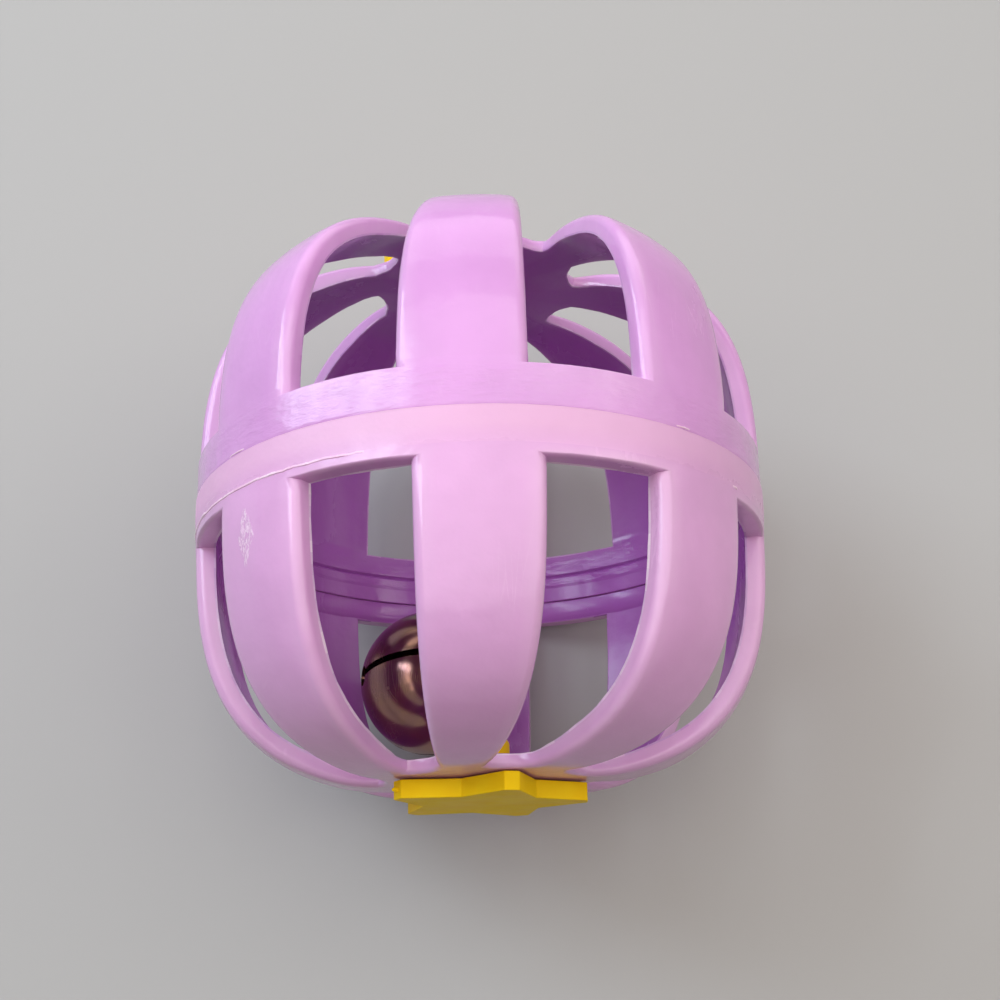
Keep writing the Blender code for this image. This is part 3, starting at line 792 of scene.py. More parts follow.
def eased(points):
    """(radius, height) outline in which a corner with a third value is rounded by that much."""
    outline = []
    for index, point in enumerate(points):
        here = Vector(point[:2])
        if len(point) < 3:
            outline.append(here)
            continue
        before = (Vector(points[index - 1][:2]) - here).normalized() * point[2]
        after = (Vector(points[(index + 1) % len(points)][:2]) - here).normalized() * point[2]
        for step in range(CORNER_STEPS + 1):
            part = step / CORNER_STEPS
            outline.append(here + before * (1 - part) ** 2 + after * part ** 2)
    return outline


def arc(radius, start, end, count):
    """Points (radius, height) on a circle about the origin, by angle from the axis."""
    angles = [start + (end - start) * step / count for step in range(count + 1)]
    return [(radius * math.sin(angle), radius * math.cos(angle)) for angle in angles]


def draw_outline(bm, outline, angles, closed):
    """Verts and edges of a (radius, height) outline, with each point at its own angle about Z."""
    verts = []
    for (radius, height), angle in zip(outline, angles):
        verts.append(bm.verts.new((radius * math.cos(angle), radius * math.sin(angle), height)))
    pairs = list(zip(verts, verts[1:]))
    if closed:
        pairs.append((verts[-1], verts[0]))
    return verts + [bm.edges.new(pair) for pair in pairs]


def clean(bm):
    """Merges doubles and points the faces outwards."""
    bmesh.ops.remove_doubles(bm, verts=bm.verts[:], dist=MERGE_DISTANCE)
    bmesh.ops.recalc_face_normals(bm, faces=bm.faces[:])
    return bm


def spin_round(bm, line, steps):
    """Spins a line once round Z and closes the seam."""
    whole = {"angle": math.tau, "steps": steps, "use_merge": True}
    bmesh.ops.spin(bm, geom=line, cent=(0, 0, 0), axis=(0, 0, 1), **whole)
    return clean(bm)


def turned(outline, steps, closed):
    """Bmesh of an outline spun once round Z."""
    bm = bmesh.new()
    return spin_round(bm, draw_outline(bm, outline, [0.0] * len(outline), closed), steps)


def wire_ring(radius, height, wire_radius, sides, steps):
    """Bmesh of a round wire bent to a ring about Z."""
    bm = bmesh.new()
    stand = Matrix.Translation((radius, 0.0, height)) @ Matrix.Rotation(math.pi / 2, 4, "X")
    bmesh.ops.create_circle(bm, segments=sides, radius=wire_radius, matrix=stand)
    return spin_round(bm, bm.verts[:] + bm.edges[:], steps)


def wobble(point, scale, amount):
    """Noise of an amount at a point."""
    return amount * noise.noise(point * scale)


def spin_on(bm, line, angle, steps):
    """Spins the last line on about Z, and gives the new last line and the new faces."""
    before = set(bm.faces)
    spun = bmesh.ops.spin(bm, geom=line, cent=(0, 0, 0), axis=(0, 0, 1), angle=angle, steps=steps)
    return spun["geom_last"], [face for face in bm.faces if face not in before]


def round_edges(bm, edges, size, segments):
    """Bevels edges to a round, and marks the round in the edge layer."""
    made = bmesh.ops.bevel(
        bm,
        geom=edges,
        offset=size,
        offset_type="OFFSET",
        segments=segments,
        profile=0.5,
        affect="EDGES",
        material=-1,
    )
    layer = bm.verts.layers.float["edge"]
    for face in made["faces"]:
        for vert in face.verts:
            vert[layer] = 1.0
    return made["faces"]


def put_in_place(bm, matrix):
    """Moves a finished bmesh to its place on the ball."""
    bmesh.ops.transform(bm, matrix=matrix, verts=bm.verts[:])


def as_object(name, bm):
    """Object of a bmesh in the scene. The bmesh is freed."""
    mesh = bpy.data.meshes.new(name)
    bm.to_mesh(mesh)
    bm.free()
    item = bpy.data.objects.new(name, mesh)
    bpy.context.scene.collection.objects.link(item)
    return item


def new_piece(name, bm, material, body, slot, *nodes):
    """Object of a finished bmesh that rides on a body and stands for CAD nodes."""
    piece = as_object(name, bm)
    piece.data.shade_smooth()
    piece.data.set_sharp_from_angle(angle=SHARP_ANGLE)
    piece.data.materials.append(material)
    normals = piece.modifiers.new("Face normals", "WEIGHTED_NORMAL")
    normals.keep_sharp = True
    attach(piece, body)
    if nodes:
        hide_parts(*nodes)
    return piece


def evaluated(item, helpers):
    """Bmesh of a short-lived object after its modifiers. The object and its helpers are removed."""
    graph = bpy.context.evaluated_depsgraph_get()
    shown = item.evaluated_get(graph)
    mesh = bpy.data.meshes.new_from_object(shown, preserve_all_data_layers=True, depsgraph=graph)
    result = bmesh.new()
    result.from_mesh(mesh)
    bpy.data.meshes.remove(mesh)
    for used in (item, *helpers):
        bpy.data.meshes.remove(used.data)
    return clean(result)


def carved(bm, tools, edge_round):
    """Bmesh of a solid after exact Booleans with (operation, bmesh) tools and a round on its edges."""
    base = as_object("scratch", bm)
    helpers = []
    for operation, tool in tools:
        helper = as_object("scratch", tool)
        helpers.append(helper)
        modifier = base.modifiers.new(operation, "BOOLEAN")
        modifier.operation = operation
        modifier.solver = "EXACT"
        modifier.object = helper
    if edge_round:
        bevel = base.modifiers.new("Edges", "BEVEL")
        bevel.width = edge_round
        bevel.segments = CARVED_EDGE_SEGMENTS
        bevel.limit_method = "ANGLE"
        bevel.angle_limit = CARVED_EDGE_ANGLE
    return evaluated(base, helpers)


def rounded(bm, sizes):
    """Bmesh with a round of its own size on each given edge, and the rounds marked in the edge layer."""
    widest = max(sizes.values())
    weight = bm.edges.layers.float["bevel_weight_edge"]
    mark = bm.verts.layers.float["edge"]
    for edge, size in sizes.items():
        edge[weight] = size / widest
        for vert in edge.verts:
            vert[mark] = 1.0
    item = as_object("scratch", bm)
    bevel = item.modifiers.new("Rounds", "BEVEL")
    bevel.limit_method = "WEIGHT"
    bevel.width = widest
    bevel.segments = ROUND_SEGMENTS
    bevel.use_clamp_overlap = False
    return evaluated(item, [])


# Cage


def shell_radius_at(cage, height):
    """Radius of the outer meridian at a height over the parting plane."""
    return cage.shell_radius * (1 - (height / cage.half_height) ** cage.exponent) ** (1 / cage.exponent)


def shell_height_at(cage, radius):
    """Height of the outer meridian over the parting plane at a radius."""
    return cage.half_height * (1 - (radius / cage.shell_radius) ** cage.exponent) ** (1 / cage.exponent)


def even_points(points, count):
    """Points spaced evenly along a polyline."""
    lengths = [0.0]
    for a, b in zip(points, points[1:]):
        lengths.append(lengths[-1] + (b - a).length)
    spaced = []
    index = 0
    for step in range(count + 1):
        target = lengths[-1] * step / count
        while index < len(points) - 2 and lengths[index + 1] < target:
            index += 1
        part = (target - lengths[index]) / (lengths[index + 1] - lengths[index])
        spaced.append(points[index].lerp(points[index + 1], part))
    return spaced


def smoothed(points):
    """Points of an evenly spaced polyline, each averaged with its neighbours on both sides."""
    result = []
    for index in range(len(points)):
        reach = min(SMOOTHING_REACH, index, len(points) - 1 - index)
        near = points[index - reach:index + reach + 1]
        result.append(sum(near, Vector((0.0, 0.0))) / len(near))
    return result


def rib_lines(cage):
    """Outer and inner (radius, height) lines of a rib, point for point from the band to the hub ring."""
    bend = 2 / cage.exponent
    start = math.asin((cage.band_half / cage.half_height) ** (1 / bend))
    end = math.acos((cage.hub_flat_radius / cage.shell_radius) ** (1 / bend))
    samples = []
    for step in range(MERIDIAN_SAMPLES + 1):
        angle = start + (end - start) * step / MERIDIAN_SAMPLES
        radius = cage.shell_radius * math.cos(angle) ** bend
        samples.append(Vector((radius, cage.half_height * math.sin(angle) ** bend)))
    samples.append(Vector((cage.hub_ring_radius, samples[-1].y)))
    outer = even_points(smoothed(even_points(samples, MERIDIAN_SAMPLES)), RIB_SEGMENTS)
    face = outer[-1].y
    inner = []
    for index, point in enumerate(outer):
        run = (outer[min(index + 1, RIB_SEGMENTS)] - outer[max(index - 1, 0)]).normalized()
        near_hub = max(0.0, 1 - (RIB_SEGMENTS - index) / THINNING_SEGMENTS)
        thickness = cage.wall + (cage.hub_wall - cage.wall) * near_hub
        inner.append(point + Vector((-run.y, run.x)) * thickness)
    inner[0].y = cage.band_half
    inner[-1] = Vector((cage.hub_ring_radius, face - cage.hub_wall))
    return outer, inner


def front_seam(cage, seam):
    """Section of the front half from the inside of its band, round the lipped socket, to the belt."""
    return [
        (cage.shell_radius - cage.wall, seam.belt_width + 6 * SEAM_STEP),
        (seam.belt_inner - 2 * SEAM_STEP, seam.belt_width),
        (seam.belt_inner, seam.socket_floor, SOCKET_ROUND),
        (seam.undercut_radius, seam.socket_floor),
        (seam.undercut_radius, seam.lip_end),
        (seam.lip_radius, seam.lip_end),
        (seam.lip_radius, seam.belt_rim),
        (seam.belt_radius, seam.belt_rim, RIM_ROUND),
        (seam.belt_radius, seam.belt_width - 10 * SEAM_STEP, 5 * SEAM_STEP),
        (shell_radius_at(cage, seam.belt_width), seam.belt_width),
    ]


def rear_seam(cage, seam):
    """Section of the rear half from the inside of its band, round the tongue, to the rim."""
    bead_start = seam.tongue_length - seam.bead_length
    return [
        (seam.tongue_inner, seam.tongue_root + 5 * SEAM_STEP),
        (seam.tongue_inner, seam.tongue_root + 2 * SEAM_STEP),
        (seam.tongue_inner + 2 * SEAM_STEP, seam.tongue_root),
        (seam.tongue_inner, seam.tongue_root - 2 * SEAM_STEP),
        (seam.tongue_inner, -seam.tongue_length, TONGUE_ROUND),
        (seam.bead_radius - 3 * SEAM_STEP, -seam.tongue_length),
        (seam.bead_radius, -seam.tongue_length + SEAM_STEP),
        (seam.bead_radius, -bead_start - SEAM_STEP),
        (seam.tongue_outer, -bead_start),
        (seam.tongue_outer, -seam.rear_rim),
        (cage.shell_radius, -seam.rear_rim, RIM_ROUND),
    ]


def in_window_zone(cage, point):
    """Whether a point lies where windows are: over the band and off the hub ring."""
    off_hub = math.hypot(point.x, point.y) > cage.hub_ring_radius - SLACK
    return off_hub and point.z > cage.band_half - SLACK


def is_outer(cage, point):
    """Whether a point of a window's edge lies on the outer face."""
    face = shell_height_at(cage, cage.hub_flat_radius)
    across = (math.hypot(point.x, point.y) / cage.shell_radius) ** cage.exponent
    outward = across + (abs(point.z) / cage.half_height) ** cage.exponent
    return point.z > face - cage.hub_wall / 2 or outward > OUTER_SHARE


def sharp_window_edges(bm, cage, outer):
    """Sharp edges round the windows, on the outer or the inner face."""
    edges = []
    for edge in bm.edges:
        ends = [vert.co for vert in edge.verts]
        if not all(in_window_zone(cage, end) and is_outer(cage, end) == outer for end in ends):
            continue
        outward = [face.normal.dot(face.calc_center_median().normalized()) for face in edge.link_faces]
        on_shell = max(outward) > FACING if outer else min(outward) < -FACING
        if on_shell and edge.calc_face_angle(0.0) > WINDOW_EDGE_ANGLE:
            edges.append(edge)
    return edges


def lean_turn(cage, radius):
    """Turn about the pole that gives the ribs their lean: none at the shell's radius, all at the hub."""
    reach = max(radius, cage.hub_ring_radius)
    return cage.rib_lean * (cage.shell_radius - reach) / (cage.shell_radius - cage.hub_ring_radius) / reach


def fillet_depth(size, along):
    """Depth of a fillet at a distance along from its corner."""
    return size - math.sqrt(max(0.0, size * size - (size - along) ** 2))


def fillet_corners(bm, cage, start, rib_angle, pitch):
    """Moves the windows' border verts near the hub onto a fillet in each of a window's two hub corners."""
    size = cage.hub_fillet
    for vert in {vert for edge in bm.edges if edge.is_boundary for vert in edge.verts}:
        radius = math.hypot(vert.co.x, vert.co.y)
        off_hub = radius - cage.hub_ring_radius
        swing = math.atan2(vert.co.y, vert.co.x) - start - lean_turn(cage, radius) - rib_angle
        into = (swing + ANGLE_SLACK) % pitch - ANGLE_SLACK
        beyond = pitch - rib_angle - into
        off_side = min(into, beyond) * radius
        if off_hub > size or off_side > size or vert.co.z < cage.band_half + size:
            continue
        if off_side < SLACK and off_hub < SLACK:
            outward = inward = size * (1 - math.sqrt(0.5))
        else:
            inward = fillet_depth(size, off_hub) if off_side < SLACK else 0.0
            outward = fillet_depth(size, off_side) if off_hub < SLACK else 0.0
        sweep = inward / radius if into < beyond else -inward / radius
        stretch = (radius + outward) / radius
        swung = Matrix.Rotation(sweep, 4, "Z") @ vert.co
        vert.co = (swung.x * stretch, swung.y * stretch, vert.co.z)


def outer_rounds(bm, cage, band_round):
    """Size of the round on each outer window edge: soft on the ribs, crisp at the band and the hub."""
    sizes = {}
    for edge in sharp_window_edges(bm, cage, True):
        heights = [vert.co.z for vert in edge.verts]
        radii = [math.hypot(vert.co.x, vert.co.y) for vert in edge.verts]
        if max(heights) < cage.band_half + SLACK:
            sizes[edge] = band_round
        elif max(radii) < cage.hub_ring_radius + SLACK:
            sizes[edge] = cage.hub_round
        else:
            out = (sum(radii) / 2 - cage.hub_ring_radius) / (cage.shell_radius - cage.hub_ring_radius)
            sizes[edge] = cage.rib_end_round + (cage.rib_round - cage.rib_end_round) * out
    return sizes


def flash_amount(point, lit_side):
    """Uneven share of flash at a point, from 0 to 1, heavier towards the lit side of the half, where its
    painted highlight is strongest.
    """
    uneven = FLASH_MEAN + wobble(point, scale=300.0, amount=0.5) + wobble(point, scale=1200.0, amount=0.3)
    sided = FLASH_ALL_ROUND + FLASH_SIDED * point.normalized().dot(lit_side)
    return max(0.0, min(1.0, uneven * sided))


def add_inner_flash(bm, cage, lit_side):
    """Rounds the inner window edges, with an uneven ridge of flash along the middle of the round, its share
    painted as a highlight.
    """
    edges = sharp_window_edges(bm, cage, False)
    faces = set(round_edges(bm, edges, cage.inner_round, INNER_ROUND_SEGMENTS))
    bm.normal_update()
    layer = bm.faces.layers.float["flash"]
    for face in faces:
        face[layer] = flash_amount(face.calc_center_median(), lit_side)
    moves = []
    for vert in {vert for face in faces for vert in face.verts}:
        off_hub = math.hypot(vert.co.x, vert.co.y) > cage.hub_flat_radius
        if off_hub and all(face in faces for face in vert.link_faces):
            moves.append((vert, vert.normal * cage.inner_flash * flash_amount(vert.co, lit_side)))
    for vert, move in moves:
        vert.co += move


def mark_faces(bm, cage, belt_span):
    """Marks the faces on the inside of a half, and those on its belt, in two face layers."""
    inside = bm.faces.layers.float.new("inside")
    belt = bm.faces.layers.float.new("belt")
    for face in bm.faces:
        centre = face.calc_center_median()
        if face.normal.dot(centre.normalized()) < -FACING and not is_outer(cage, centre):
            face[inside] = 1.0
        if is_outer(cage, centre) and belt_span[0] < centre.z < belt_span[1]:
            face[belt] = 1.0


def cage_half(cage, seam_section, band_round, belt_span, lit_side):
    """Bmesh of one half with its pole at +Z: a section spun over ribs and open windows."""
    outer, inner = rib_lines(cage)
    face = outer[-1].y
    hole = [
        (cage.hub_hole_radius * HOLE_LAND, face),
        (cage.hub_hole_radius, face, HOLE_ROUND),
        (cage.hub_hole_radius, face - cage.hub_wall, HOLE_ROUND),
        (cage.hub_hole_radius * HOLE_LAND, face - cage.hub_wall),
    ]
    rim = eased([outer[0], inner[0], *seam_section])[2:]
    hub = eased(hole)
    pitch = math.tau / cage.rib_count
    rib_angle = cage.rib_width / cage.shell_radius
    start = math.pi / 2 - rib_angle / 2
    leans = [start + lean_turn(cage, point.x) for point in outer]
    outline = outer + hub + inner[::-1] + rim
    angles = leans + [leans[-1]] * len(hub) + leans[::-1] + [start] * len(rim)
    bm = bmesh.new()
    bm.verts.layers.float.new("edge")
    bm.faces.layers.float.new("flash")
    bm.edges.layers.float.new("bevel_weight_edge")
    line = draw_outline(bm, outline, angles, True)
    open_faces = []
    for _ in range(cage.rib_count):
        line, _rib = spin_on(bm, line, rib_angle, RIB_STEPS)
        line, window = spin_on(bm, line, pitch - rib_angle, WINDOW_STEPS)
        open_faces += [face for face in window if in_window_zone(cage, face.calc_center_median())]
    bmesh.ops.delete(bm, geom=open_faces, context="FACES")
    bmesh.ops.remove_doubles(bm, verts=bm.verts[:], dist=MERGE_DISTANCE)
    fillet_corners(bm, cage, start, rib_angle, pitch)
    loops = {}
    for edge in bm.edges:
        if edge.is_boundary:
            middle = (edge.verts[0].co + edge.verts[1].co) / 2
            swing = math.atan2(middle.y, middle.x) - start - rib_angle / 2
            loops.setdefault(math.floor(swing % math.tau / pitch), []).append(edge)
    for edges in loops.values():
        bmesh.ops.bridge_loops(bm, edges=edges)
    bmesh.ops.recalc_face_normals(bm, faces=bm.faces[:])
    bm = rounded(bm, outer_rounds(bm, cage, band_round))
    add_inner_flash(bm, cage, lit_side)
    mark_faces(bm, cage, belt_span)
    return bm


def burr_height(burrs, angle, out):
    """Height of the burrs on a seam at an angle from the top."""
    height = 0.0
    for middle, half_width, peak in burrs:
        part = 1 - ((math.degrees(angle) - middle) / half_width) ** 2
        if part > 0:
            height += peak * MM * math.sqrt(part) * (BURR_MEAN + wobble(out, scale=160.0, amount=0.5))
    return height


def flash_ring(radius, height, thickness, lift, wander):
    """Bmesh of a thin ring about Z, pushed out by lift(direction) and with a wandering height."""
    bm = wire_ring(radius, height, thickness / 2, FLASH_SIDES, FLASH_STEPS)
    for vert in bm.verts:
        out = Vector((vert.co.x, vert.co.y, 0.0)).normalized()
        vert.co += out * lift(out)
        vert.co.z += wander * (wobble(out, scale=18.0, amount=1.0) + wobble(out, scale=60.0, amount=0.7))
    return bm


# Stars and bell


def star_outline(stars):
    """Corners of the star: blunt tips, with one notch point between two tips."""
    corners = []
    for point in range(stars.points):
        angle = math.tau * point / stars.points
        out = Vector((math.sin(angle), math.cos(angle), 0.0))
        side = Vector((math.cos(angle), -math.sin(angle), 0.0))
        corners.append(out * stars.radius - side * stars.tip_width / 2)
        corners.append(out * stars.radius + side * stars.tip_width / 2)
        notch = angle + math.pi / stars.points
        corners.append(Vector((math.sin(notch), math.cos(notch), 0.0)) * stars.notch_radius)
    return corners


def star_solid(stars):
    """Bmesh of a star plate with its snap pin, with its outer face at +Z."""
    back = STAR_FACE - stars.thickness
    bm = bmesh.new()
    bm.verts.layers.float.new("edge")
    plate = bm.faces.new([bm.verts.new(corner + Vector((0, 0, back))) for corner in star_outline(stars)])
    lifted = bmesh.ops.extrude_face_region(bm, geom=[plate])
    moved = [item for item in lifted["geom"] if isinstance(item, bmesh.types.BMVert)]
    bmesh.ops.translate(bm, verts=moved, vec=(0, 0, stars.thickness))
    bmesh.ops.recalc_face_normals(bm, faces=bm.faces[:])
    round_edges(bm, bm.edges[:], stars.edge_round, INNER_ROUND_SEGMENTS)
    middle = back + stars.thickness / 2
    head = STAR_FACE - stars.head_start
    end = head - stars.head_length
    pin = [
        (0.0, middle),
        (stars.stem_radius, middle),
        (stars.stem_radius, head),
        (stars.head_radius, head, PIN_HEAD_ROUND),
        (stars.head_radius, end + PIN_LEAD, PIN_END_ROUND),
        (stars.head_radius - PIN_LEAD, end, PIN_END_ROUND),
        (0.0, end),
    ]
    tools = [("UNION", turned(eased(pin), PIN_STEPS, False)), ("UNION", gate_nib(stars))]
    return carved(bm, tools, 0.0)


def gate_nib(stars):
    """Bmesh of the small moulding nib left on the last tip, at half the thickness of the plate."""
    angle = math.tau * (stars.points - 1) / stars.points
    out = Vector((math.sin(angle), math.cos(angle), 0.0))
    middle = out * stars.radius + Vector((0.0, 0.0, STAR_FACE - stars.thickness / 2))
    size = Matrix.Diagonal((stars.nib_width, 2 * stars.nib_length, stars.nib_width, 1.0))
    nib = bmesh.new()
    place = Matrix.Translation(middle) @ Matrix.Rotation(-angle, 4, "Z") @ size
    bmesh.ops.create_icosphere(nib, subdivisions=2, radius=0.5, matrix=place)
    return nib


def bell_turn(bell):
    """Turn that takes the bell's slot direction, slot normal and slot pole to the ball's frame."""
    pole = Vector(bell.slot_pole).normalized()
    along = Vector(bell.slot_normal).cross(pole).normalized()
    return Matrix((along, pole.cross(along), pole)).transposed().to_4x4()


def slotted_cup(bell):
    """Bmesh of the cup with the sound slot and a round hole at each end of it."""
    inner = bell.radius - bell.wall
    outside = arc(bell.radius, 0.0, math.pi / 2, CUP_SEGMENTS)
    inside = arc(inner, math.pi / 2, 0.0, CUP_SEGMENTS)
    lip = [(bell.radius, -bell.lap, CUP_LIP_ROUND), (inner, -bell.lap, CUP_LIP_ROUND)]
    section = outside + eased([outside[-1], *lip, (inner, 0.0)])[1:-1] + inside
    reach = bell.radius * math.sin(bell.slot_half_angle)
    slot = bmesh.new()
    bmesh.ops.create_cube(slot, size=1.0)
    bmesh.ops.scale(slot, verts=slot.verts[:], vec=(2 * reach, bell.slot_width, bell.radius))
    slot_floor = inner * math.cos(bell.slot_half_angle) - bell.wall
    bmesh.ops.translate(slot, verts=slot.verts[:], vec=(0, 0, slot_floor + bell.radius / 2))
    tools = [("DIFFERENCE", slot)]
    for side in (-1, 1):
        drill = bmesh.new()
        lift = Matrix.Translation((0, 0, bell.radius - bell.wall / 2))
        lean = Matrix.Rotation(side * bell.slot_half_angle, 4, "Y")
        bmesh.ops.create_cone(
            drill,
            cap_ends=True,
            segments=PIN_STEPS,
            radius1=bell.hole_radius,
            radius2=bell.hole_radius,
            depth=bell.radius / 2,
            matrix=lean @ lift,
        )
        tools.append(("DIFFERENCE", drill))
    return carved(turned(section, CUP_STEPS, False), tools, bell.lip_round)


def crown_cup(bell):
    """Bmesh of the cup whose necked rim fits inside the slotted cup, with the eye's hole in its crown."""
    inner = bell.radius - bell.wall
    neck = inner - bell.gap
    hole = bell.wire_radius + bell.gap
    shoulder = bell.lap + bell.gap
    outer_start = math.acos(-shoulder / bell.radius)
    outer_end = math.pi - math.asin(hole / bell.radius)
    inner_start = math.pi - math.asin(hole / inner)
    inner_end = math.acos(-(shoulder + bell.wall) / inner)
    section = [(neck, bell.lap), (neck, -shoulder)]
    section += arc(bell.radius, outer_start, outer_end, CUP_SEGMENTS)
    section += arc(inner, inner_start, inner_end, CUP_SEGMENTS)
    section += [(neck - bell.wall, -shoulder), (neck - bell.wall, bell.lap)]
    return turned(section, CUP_STEPS, True)


def wire_eye(bell):
    """Bmesh of the wire eye with its neck through the crown and its rivet head inside."""
    inner = bell.radius - bell.wall
    eye_height = bell.radius + bell.gap + bell.wire_radius + bell.eye_radius
    head_top = -(inner - bell.gap) * math.cos(math.asin(bell.rivet_radius / inner))
    neck_end = -eye_height + bell.eye_radius
    rivet = [
        (0.0, neck_end),
        (bell.wire_radius, neck_end),
        (bell.wire_radius, head_top),
        (bell.rivet_radius, head_top, RIVET_ROUND),
        (bell.rivet_radius, head_top + bell.rivet_thickness, RIVET_END_ROUND),
        (0.0, head_top + bell.rivet_thickness),
    ]
    ring = wire_ring(bell.eye_radius, 0.0, bell.wire_radius, WIRE_SIDES, EYE_STEPS)
    put_in_place(ring, Matrix.Translation((0, 0, -eye_height)) @ Matrix.Rotation(math.pi / 2, 4, "X"))
    return carved(turned(eased(rivet), PIN_STEPS, False), [("UNION", ring)], 0.0)


# Operators


class TOYBALL_OT_cage_halves(bpy.types.Operator):
    """Builds the two ribbed halves, with the front one's belt and the rear one's tongue"""

    bl_idname = "toyball.cage_halves"
    bl_label = "Cage Halves"

    def execute(self, context):
        cage = context.scene.toy_ball_cage
        seam = context.scene.toy_ball_seam
        belt_span = (seam.belt_rim, seam.belt_width)
        # The inner flash is heavier, and its painted highlight stronger, towards the lit top
        lit_top = Vector((0.0, 1.0, 0.0))
        front = cage_half(cage, front_seam(cage, seam), cage.front_band_round, belt_span, lit_top)
        put_in_place(front, AT_CENTRE @ TO_FRONT)
        front_lilac = lilac_moulding("front_lilac", cage, cage.front_colour)
        new_piece("front_half", front, front_lilac, "front_shell", "cage", "front_cage_half")
        no_side = Vector((0.0, 0.0, 0.0))
        rear = cage_half(cage, rear_seam(cage, seam), cage.rear_band_round, (0.0, 0.0), no_side)
        put_in_place(rear, AT_CENTRE @ Matrix.Rotation(cage.rear_turn, 4, "Y") @ TO_REAR)
        # The rear half's slightly darker lilac is painted shade
        rear_lilac = lilac_moulding("rear_lilac", cage, cage.rear_shaded_colour)
        new_piece("rear_half", rear, rear_lilac, "rear_shell", "cage", "rear_cage_half")
        return {"FINISHED"}


class TOYBALL_OT_seam_flash(bpy.types.Operator):
    """Builds the thin moulding flash along the belt's front edge and on the rear half's rim"""

    bl_idname = "toyball.seam_flash"
    bl_label = "Seam Flash"

    def execute(self, context):
        cage = context.scene.toy_ball_cage
        seam = context.scene.toy_ball_seam
        material = lilac_flash(cage)

        def belt_lift(out):
            angle = math.atan2(out.x, out.y)
            uneven = wobble(out, scale=25.0, amount=0.8) + wobble(out, scale=80.0, amount=0.6)
            within = max(0.0, 1 - ((angle - WORN_MIDDLE) / WORN_HALF_ANGLE) ** 2)
            worn = WORN_DEPTH * min(1.0, WORN_STEEPNESS * within)
            return seam.flash_rough * uneven - worn + burr_height(BELT_BURRS, angle, out)

        def rim_lift(out):
            return burr_height(RIM_BURRS, math.atan2(out.x, -out.y), out)

        sunk = shell_radius_at(cage, seam.belt_width) - FLASH_SUNK_SHARE * seam.flash_thickness
        belt = flash_ring(sunk, seam.belt_width, seam.flash_thickness, belt_lift, 2 * seam.flash_rough)
        put_in_place(belt, AT_CENTRE @ TO_FRONT)
        new_piece("belt_flash", belt, material, "front_shell", "cage")
        sunk = cage.shell_radius - RIM_FLASH_SUNK
        rim = flash_ring(sunk, RIM_FLASH_HEIGHT - seam.rear_rim, RIM_FLASH_THICKNESS, rim_lift, 0.0)
        put_in_place(rim, AT_CENTRE @ TO_REAR)
        new_piece("rim_flash", rim, material, "rear_shell", "cage")
        return {"FINISHED"}


class TOYBALL_OT_star_caps(bpy.types.Operator):
    """Builds the two star caps with their snap pins"""

    bl_idname = "toyball.star_caps"
    bl_label = "Star Caps"

    def execute(self, context):
        stars = context.scene.toy_ball_stars
        cage = context.scene.toy_ball_cage
        material = yellow_moulding(stars)
        front = star_solid(stars)
        put_in_place(front, AT_CENTRE @ TO_FRONT @ Matrix.Rotation(-stars.front_turn, 4, "Z"))
        new_piece("front_star", front, material, "front_shell", "star", "front_star_cap")
        rear = star_solid(stars)
        half_turn = Matrix.Rotation(cage.rear_turn, 4, "Y")
        put_in_place(rear, AT_CENTRE @ half_turn @ TO_REAR @ Matrix.Rotation(stars.rear_turn, 4, "Z"))
        new_piece("rear_star", rear, material, "rear_shell", "star", "rear_star_cap")
        return {"FINISHED"}


class TOYBALL_OT_bell_cups(bpy.types.Operator):
    """Builds the bell's two pressed cups"""

    bl_idname = "toyball.bell_cups"
    bl_label = "Bell Cups"

    def execute(self, context):
        bell = context.scene.toy_ball_bell
        material = worked_metal("plated_sheet", bell.sheet_colour, bell.dull_colour, SHEET_ROUGHNESS)
        place = Matrix.Translation(BELL_CENTRE) @ bell_turn(bell)
        for name, node, bm in (
            ("bell_slot_cup", "bell_slotted_cup", slotted_cup(bell)),
            ("bell_eye_cup", "bell_crown_cup", crown_cup(bell)),
        ):
            put_in_place(bm, place)
            new_piece(name, bm, material, "bell", "bell", node)
        return {"FINISHED"}


class TOYBALL_OT_bell_eye(bpy.types.Operator):
    """Builds the bell's wire eye with its rivet"""

    bl_idname = "toyball.bell_eye"
    bl_label = "Bell Eye"

    def execute(self, context):
        bell = context.scene.toy_ball_bell
        material = worked_metal("plated_wire", bell.wire_colour, bell.dull_colour, WIRE_ROUGHNESS)
        eye = wire_eye(bell)
        put_in_place(eye, Matrix.Translation(BELL_CENTRE) @ bell_turn(bell))
        new_piece("bell_wire_eye", eye, material, "bell", "eye_wire", "bell_loop")
        return {"FINISHED"}


class TOYBALL_OT_pellet(bpy.types.Operator):
    """Builds the slightly uneven steel pellet in the bell"""

    bl_idname = "toyball.pellet"
    bl_label = "Pellet"

    def execute(self, context):
        bell = context.scene.toy_ball_bell
        dull = deeper(bell.pellet_colour, PELLET_DEEPENING)
        material = worked_metal("pellet_steel", bell.pellet_colour, dull, PELLET_ROUGHNESS)
        bm = bmesh.new()
        bmesh.ops.create_icosphere(bm, subdivisions=PELLET_SUBDIVISIONS, radius=bell.pellet_radius)
        for vert in bm.verts:
            vert.co *= 1.0 - abs(wobble(vert.co / bell.pellet_radius, PELLET_DENT_SCALE, PELLET_DENT))
        put_in_place(bm, Matrix.Translation(BELL_CENTRE - Vector((0, 0, bell.pellet_drop))))
        new_piece("pellet", bm, material, "pellet", "pellet", "bell_pellet")
        return {"FINISHED"}


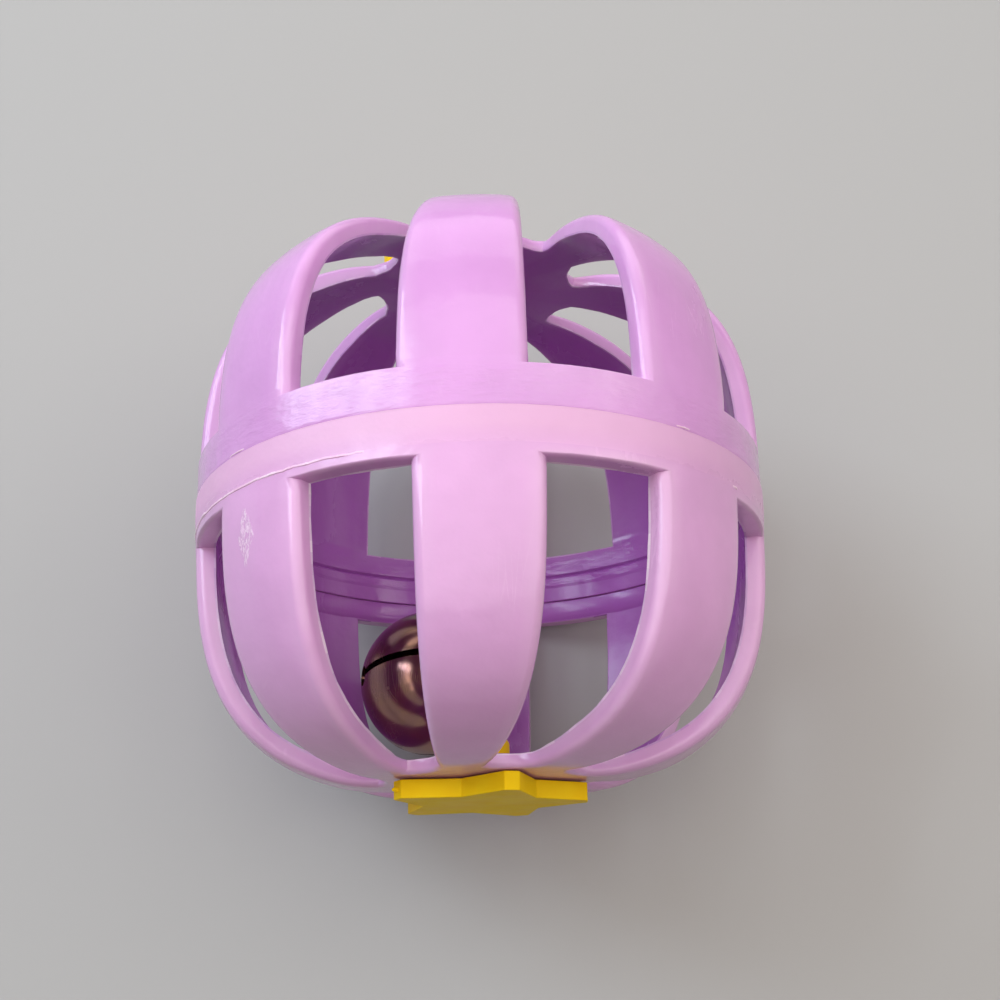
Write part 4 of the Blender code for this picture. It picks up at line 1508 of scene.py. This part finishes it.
def area_light(name, place, facing, size, watts, tint):
    """Rectangular area light at a place from the ball's centre, which faces a direction."""
    light = bpy.data.lights.new(name, "AREA")
    light.shape = "RECTANGLE"
    light.size, light.size_y = size
    light.energy = watts
    light.color = tint
    lamp = bpy.data.objects.new(name, light)
    lamp.location = BALL_CENTRE + place
    lamp.rotation_euler = facing.to_track_quat("-Z", "Y").to_euler()
    bpy.context.scene.collection.objects.link(lamp)
    return lamp


def light_ball(stage):
    """Soft lights overhead, behind and beside the ball, and the panes of a window at its left rear."""
    for name, (place, size, tint) in LIGHTS_FACING_DOWN.items():
        area_light(name, place, DOWN, size, getattr(stage, name + "_power"), tint)
    for name, (place, size, tint) in LIGHTS_FACING_BALL.items():
        lamp = area_light(name, place, -place, size, getattr(stage, name + "_power"), tint)
        lamp.visible_camera = False
    upward = WINDOW_PLACE.cross(WINDOW_PLACE.cross(DOWN)).normalized()
    pane_power = stage.window_power / len(PANE_LIFTS)
    for pane, lift in enumerate(PANE_LIFTS):
        place = WINDOW_PLACE + upward * lift
        area_light(f"window_{pane}", place, -place, PANE_SIZE, pane_power, PANE_TINT)


class TOYBALL_OT_stage(bpy.types.Operator):
    """Sets the camera, the soft lights and the pale floor"""

    bl_idname = "toyball.stage"
    bl_label = "Stage"

    def execute(self, context):
        stage = context.scene.toy_ball_stage
        scene = context.scene
        bm = bmesh.new()
        segments = {"x_segments": FLOOR_SEGMENTS, "y_segments": FLOOR_SEGMENTS}
        bmesh.ops.create_grid(bm, size=FLOOR_HALF_WIDTH, **segments)
        bmesh.ops.translate(bm, verts=bm.verts[:], vec=(0, 0, -FLOOR_DROP))
        floor = as_object("floor", bm)
        floor.data.materials.append(pale_floor(stage))

        lens = bpy.data.cameras.new("camera")
        lens.lens = stage.lens
        lens.shift_y = stage.frame_shift
        lens.clip_start = CLIP_START
        camera = bpy.data.objects.new("camera", lens)
        camera.location = BALL_CENTRE + Vector(stage.camera_place)
        camera.rotation_euler = stage.camera_turn
        scene.collection.objects.link(camera)
        scene.camera = camera

        light_ball(stage)
        scene.world = pale_room(stage)
        scene.view_settings.view_transform = "Standard"
        return {"FINISHED"}


OPERATORS = (
    TOYBALL_OT_cage_halves,
    TOYBALL_OT_seam_flash,
    TOYBALL_OT_star_caps,
    TOYBALL_OT_bell_cups,
    TOYBALL_OT_bell_eye,
    TOYBALL_OT_pellet,
    TOYBALL_OT_stage,
)

SETTINGS = {
    "toy_ball_cage": ToyBallCage,
    "toy_ball_seam": ToyBallSeam,
    "toy_ball_stars": ToyBallStars,
    "toy_ball_bell": ToyBallBell,
    "toy_ball_stage": ToyBallStage,
}


class TOYBALL_PT_panel(bpy.types.Panel):
    """Lists the pieces of the toy ball"""

    bl_idname = "TOYBALL_PT_panel"
    bl_label = "Lattice Toy Ball"
    bl_space_type = "VIEW_3D"
    bl_region_type = "UI"
    bl_category = PANEL_TAB

    def draw(self, context):
        for operator in OPERATORS:
            self.layout.operator(operator.bl_idname)
        for name, settings in SETTINGS.items():
            box = self.layout.box()
            box.label(text=settings.__doc__)
            for key in settings.__annotations__:
                box.prop(getattr(context.scene, name), key)


def register():
    for name, settings in SETTINGS.items():
        bpy.utils.register_class(settings)
        setattr(bpy.types.Scene, name, PointerProperty(type=settings))
    for operator in OPERATORS:
        bpy.utils.register_class(operator)
    bpy.utils.register_class(TOYBALL_PT_panel)


def unregister():
    bpy.utils.unregister_class(TOYBALL_PT_panel)
    for operator in reversed(OPERATORS):
        bpy.utils.unregister_class(operator)
    for name, settings in SETTINGS.items():
        delattr(bpy.types.Scene, name)
        bpy.utils.unregister_class(settings)


def main():
    register()
    bpy.ops.toyball.cage_halves()
    bpy.ops.toyball.seam_flash()
    bpy.ops.toyball.star_caps()
    bpy.ops.toyball.bell_cups()
    bpy.ops.toyball.bell_eye()
    bpy.ops.toyball.pellet()
    bpy.ops.toyball.stage()


if __name__ == "__main__":
    main()
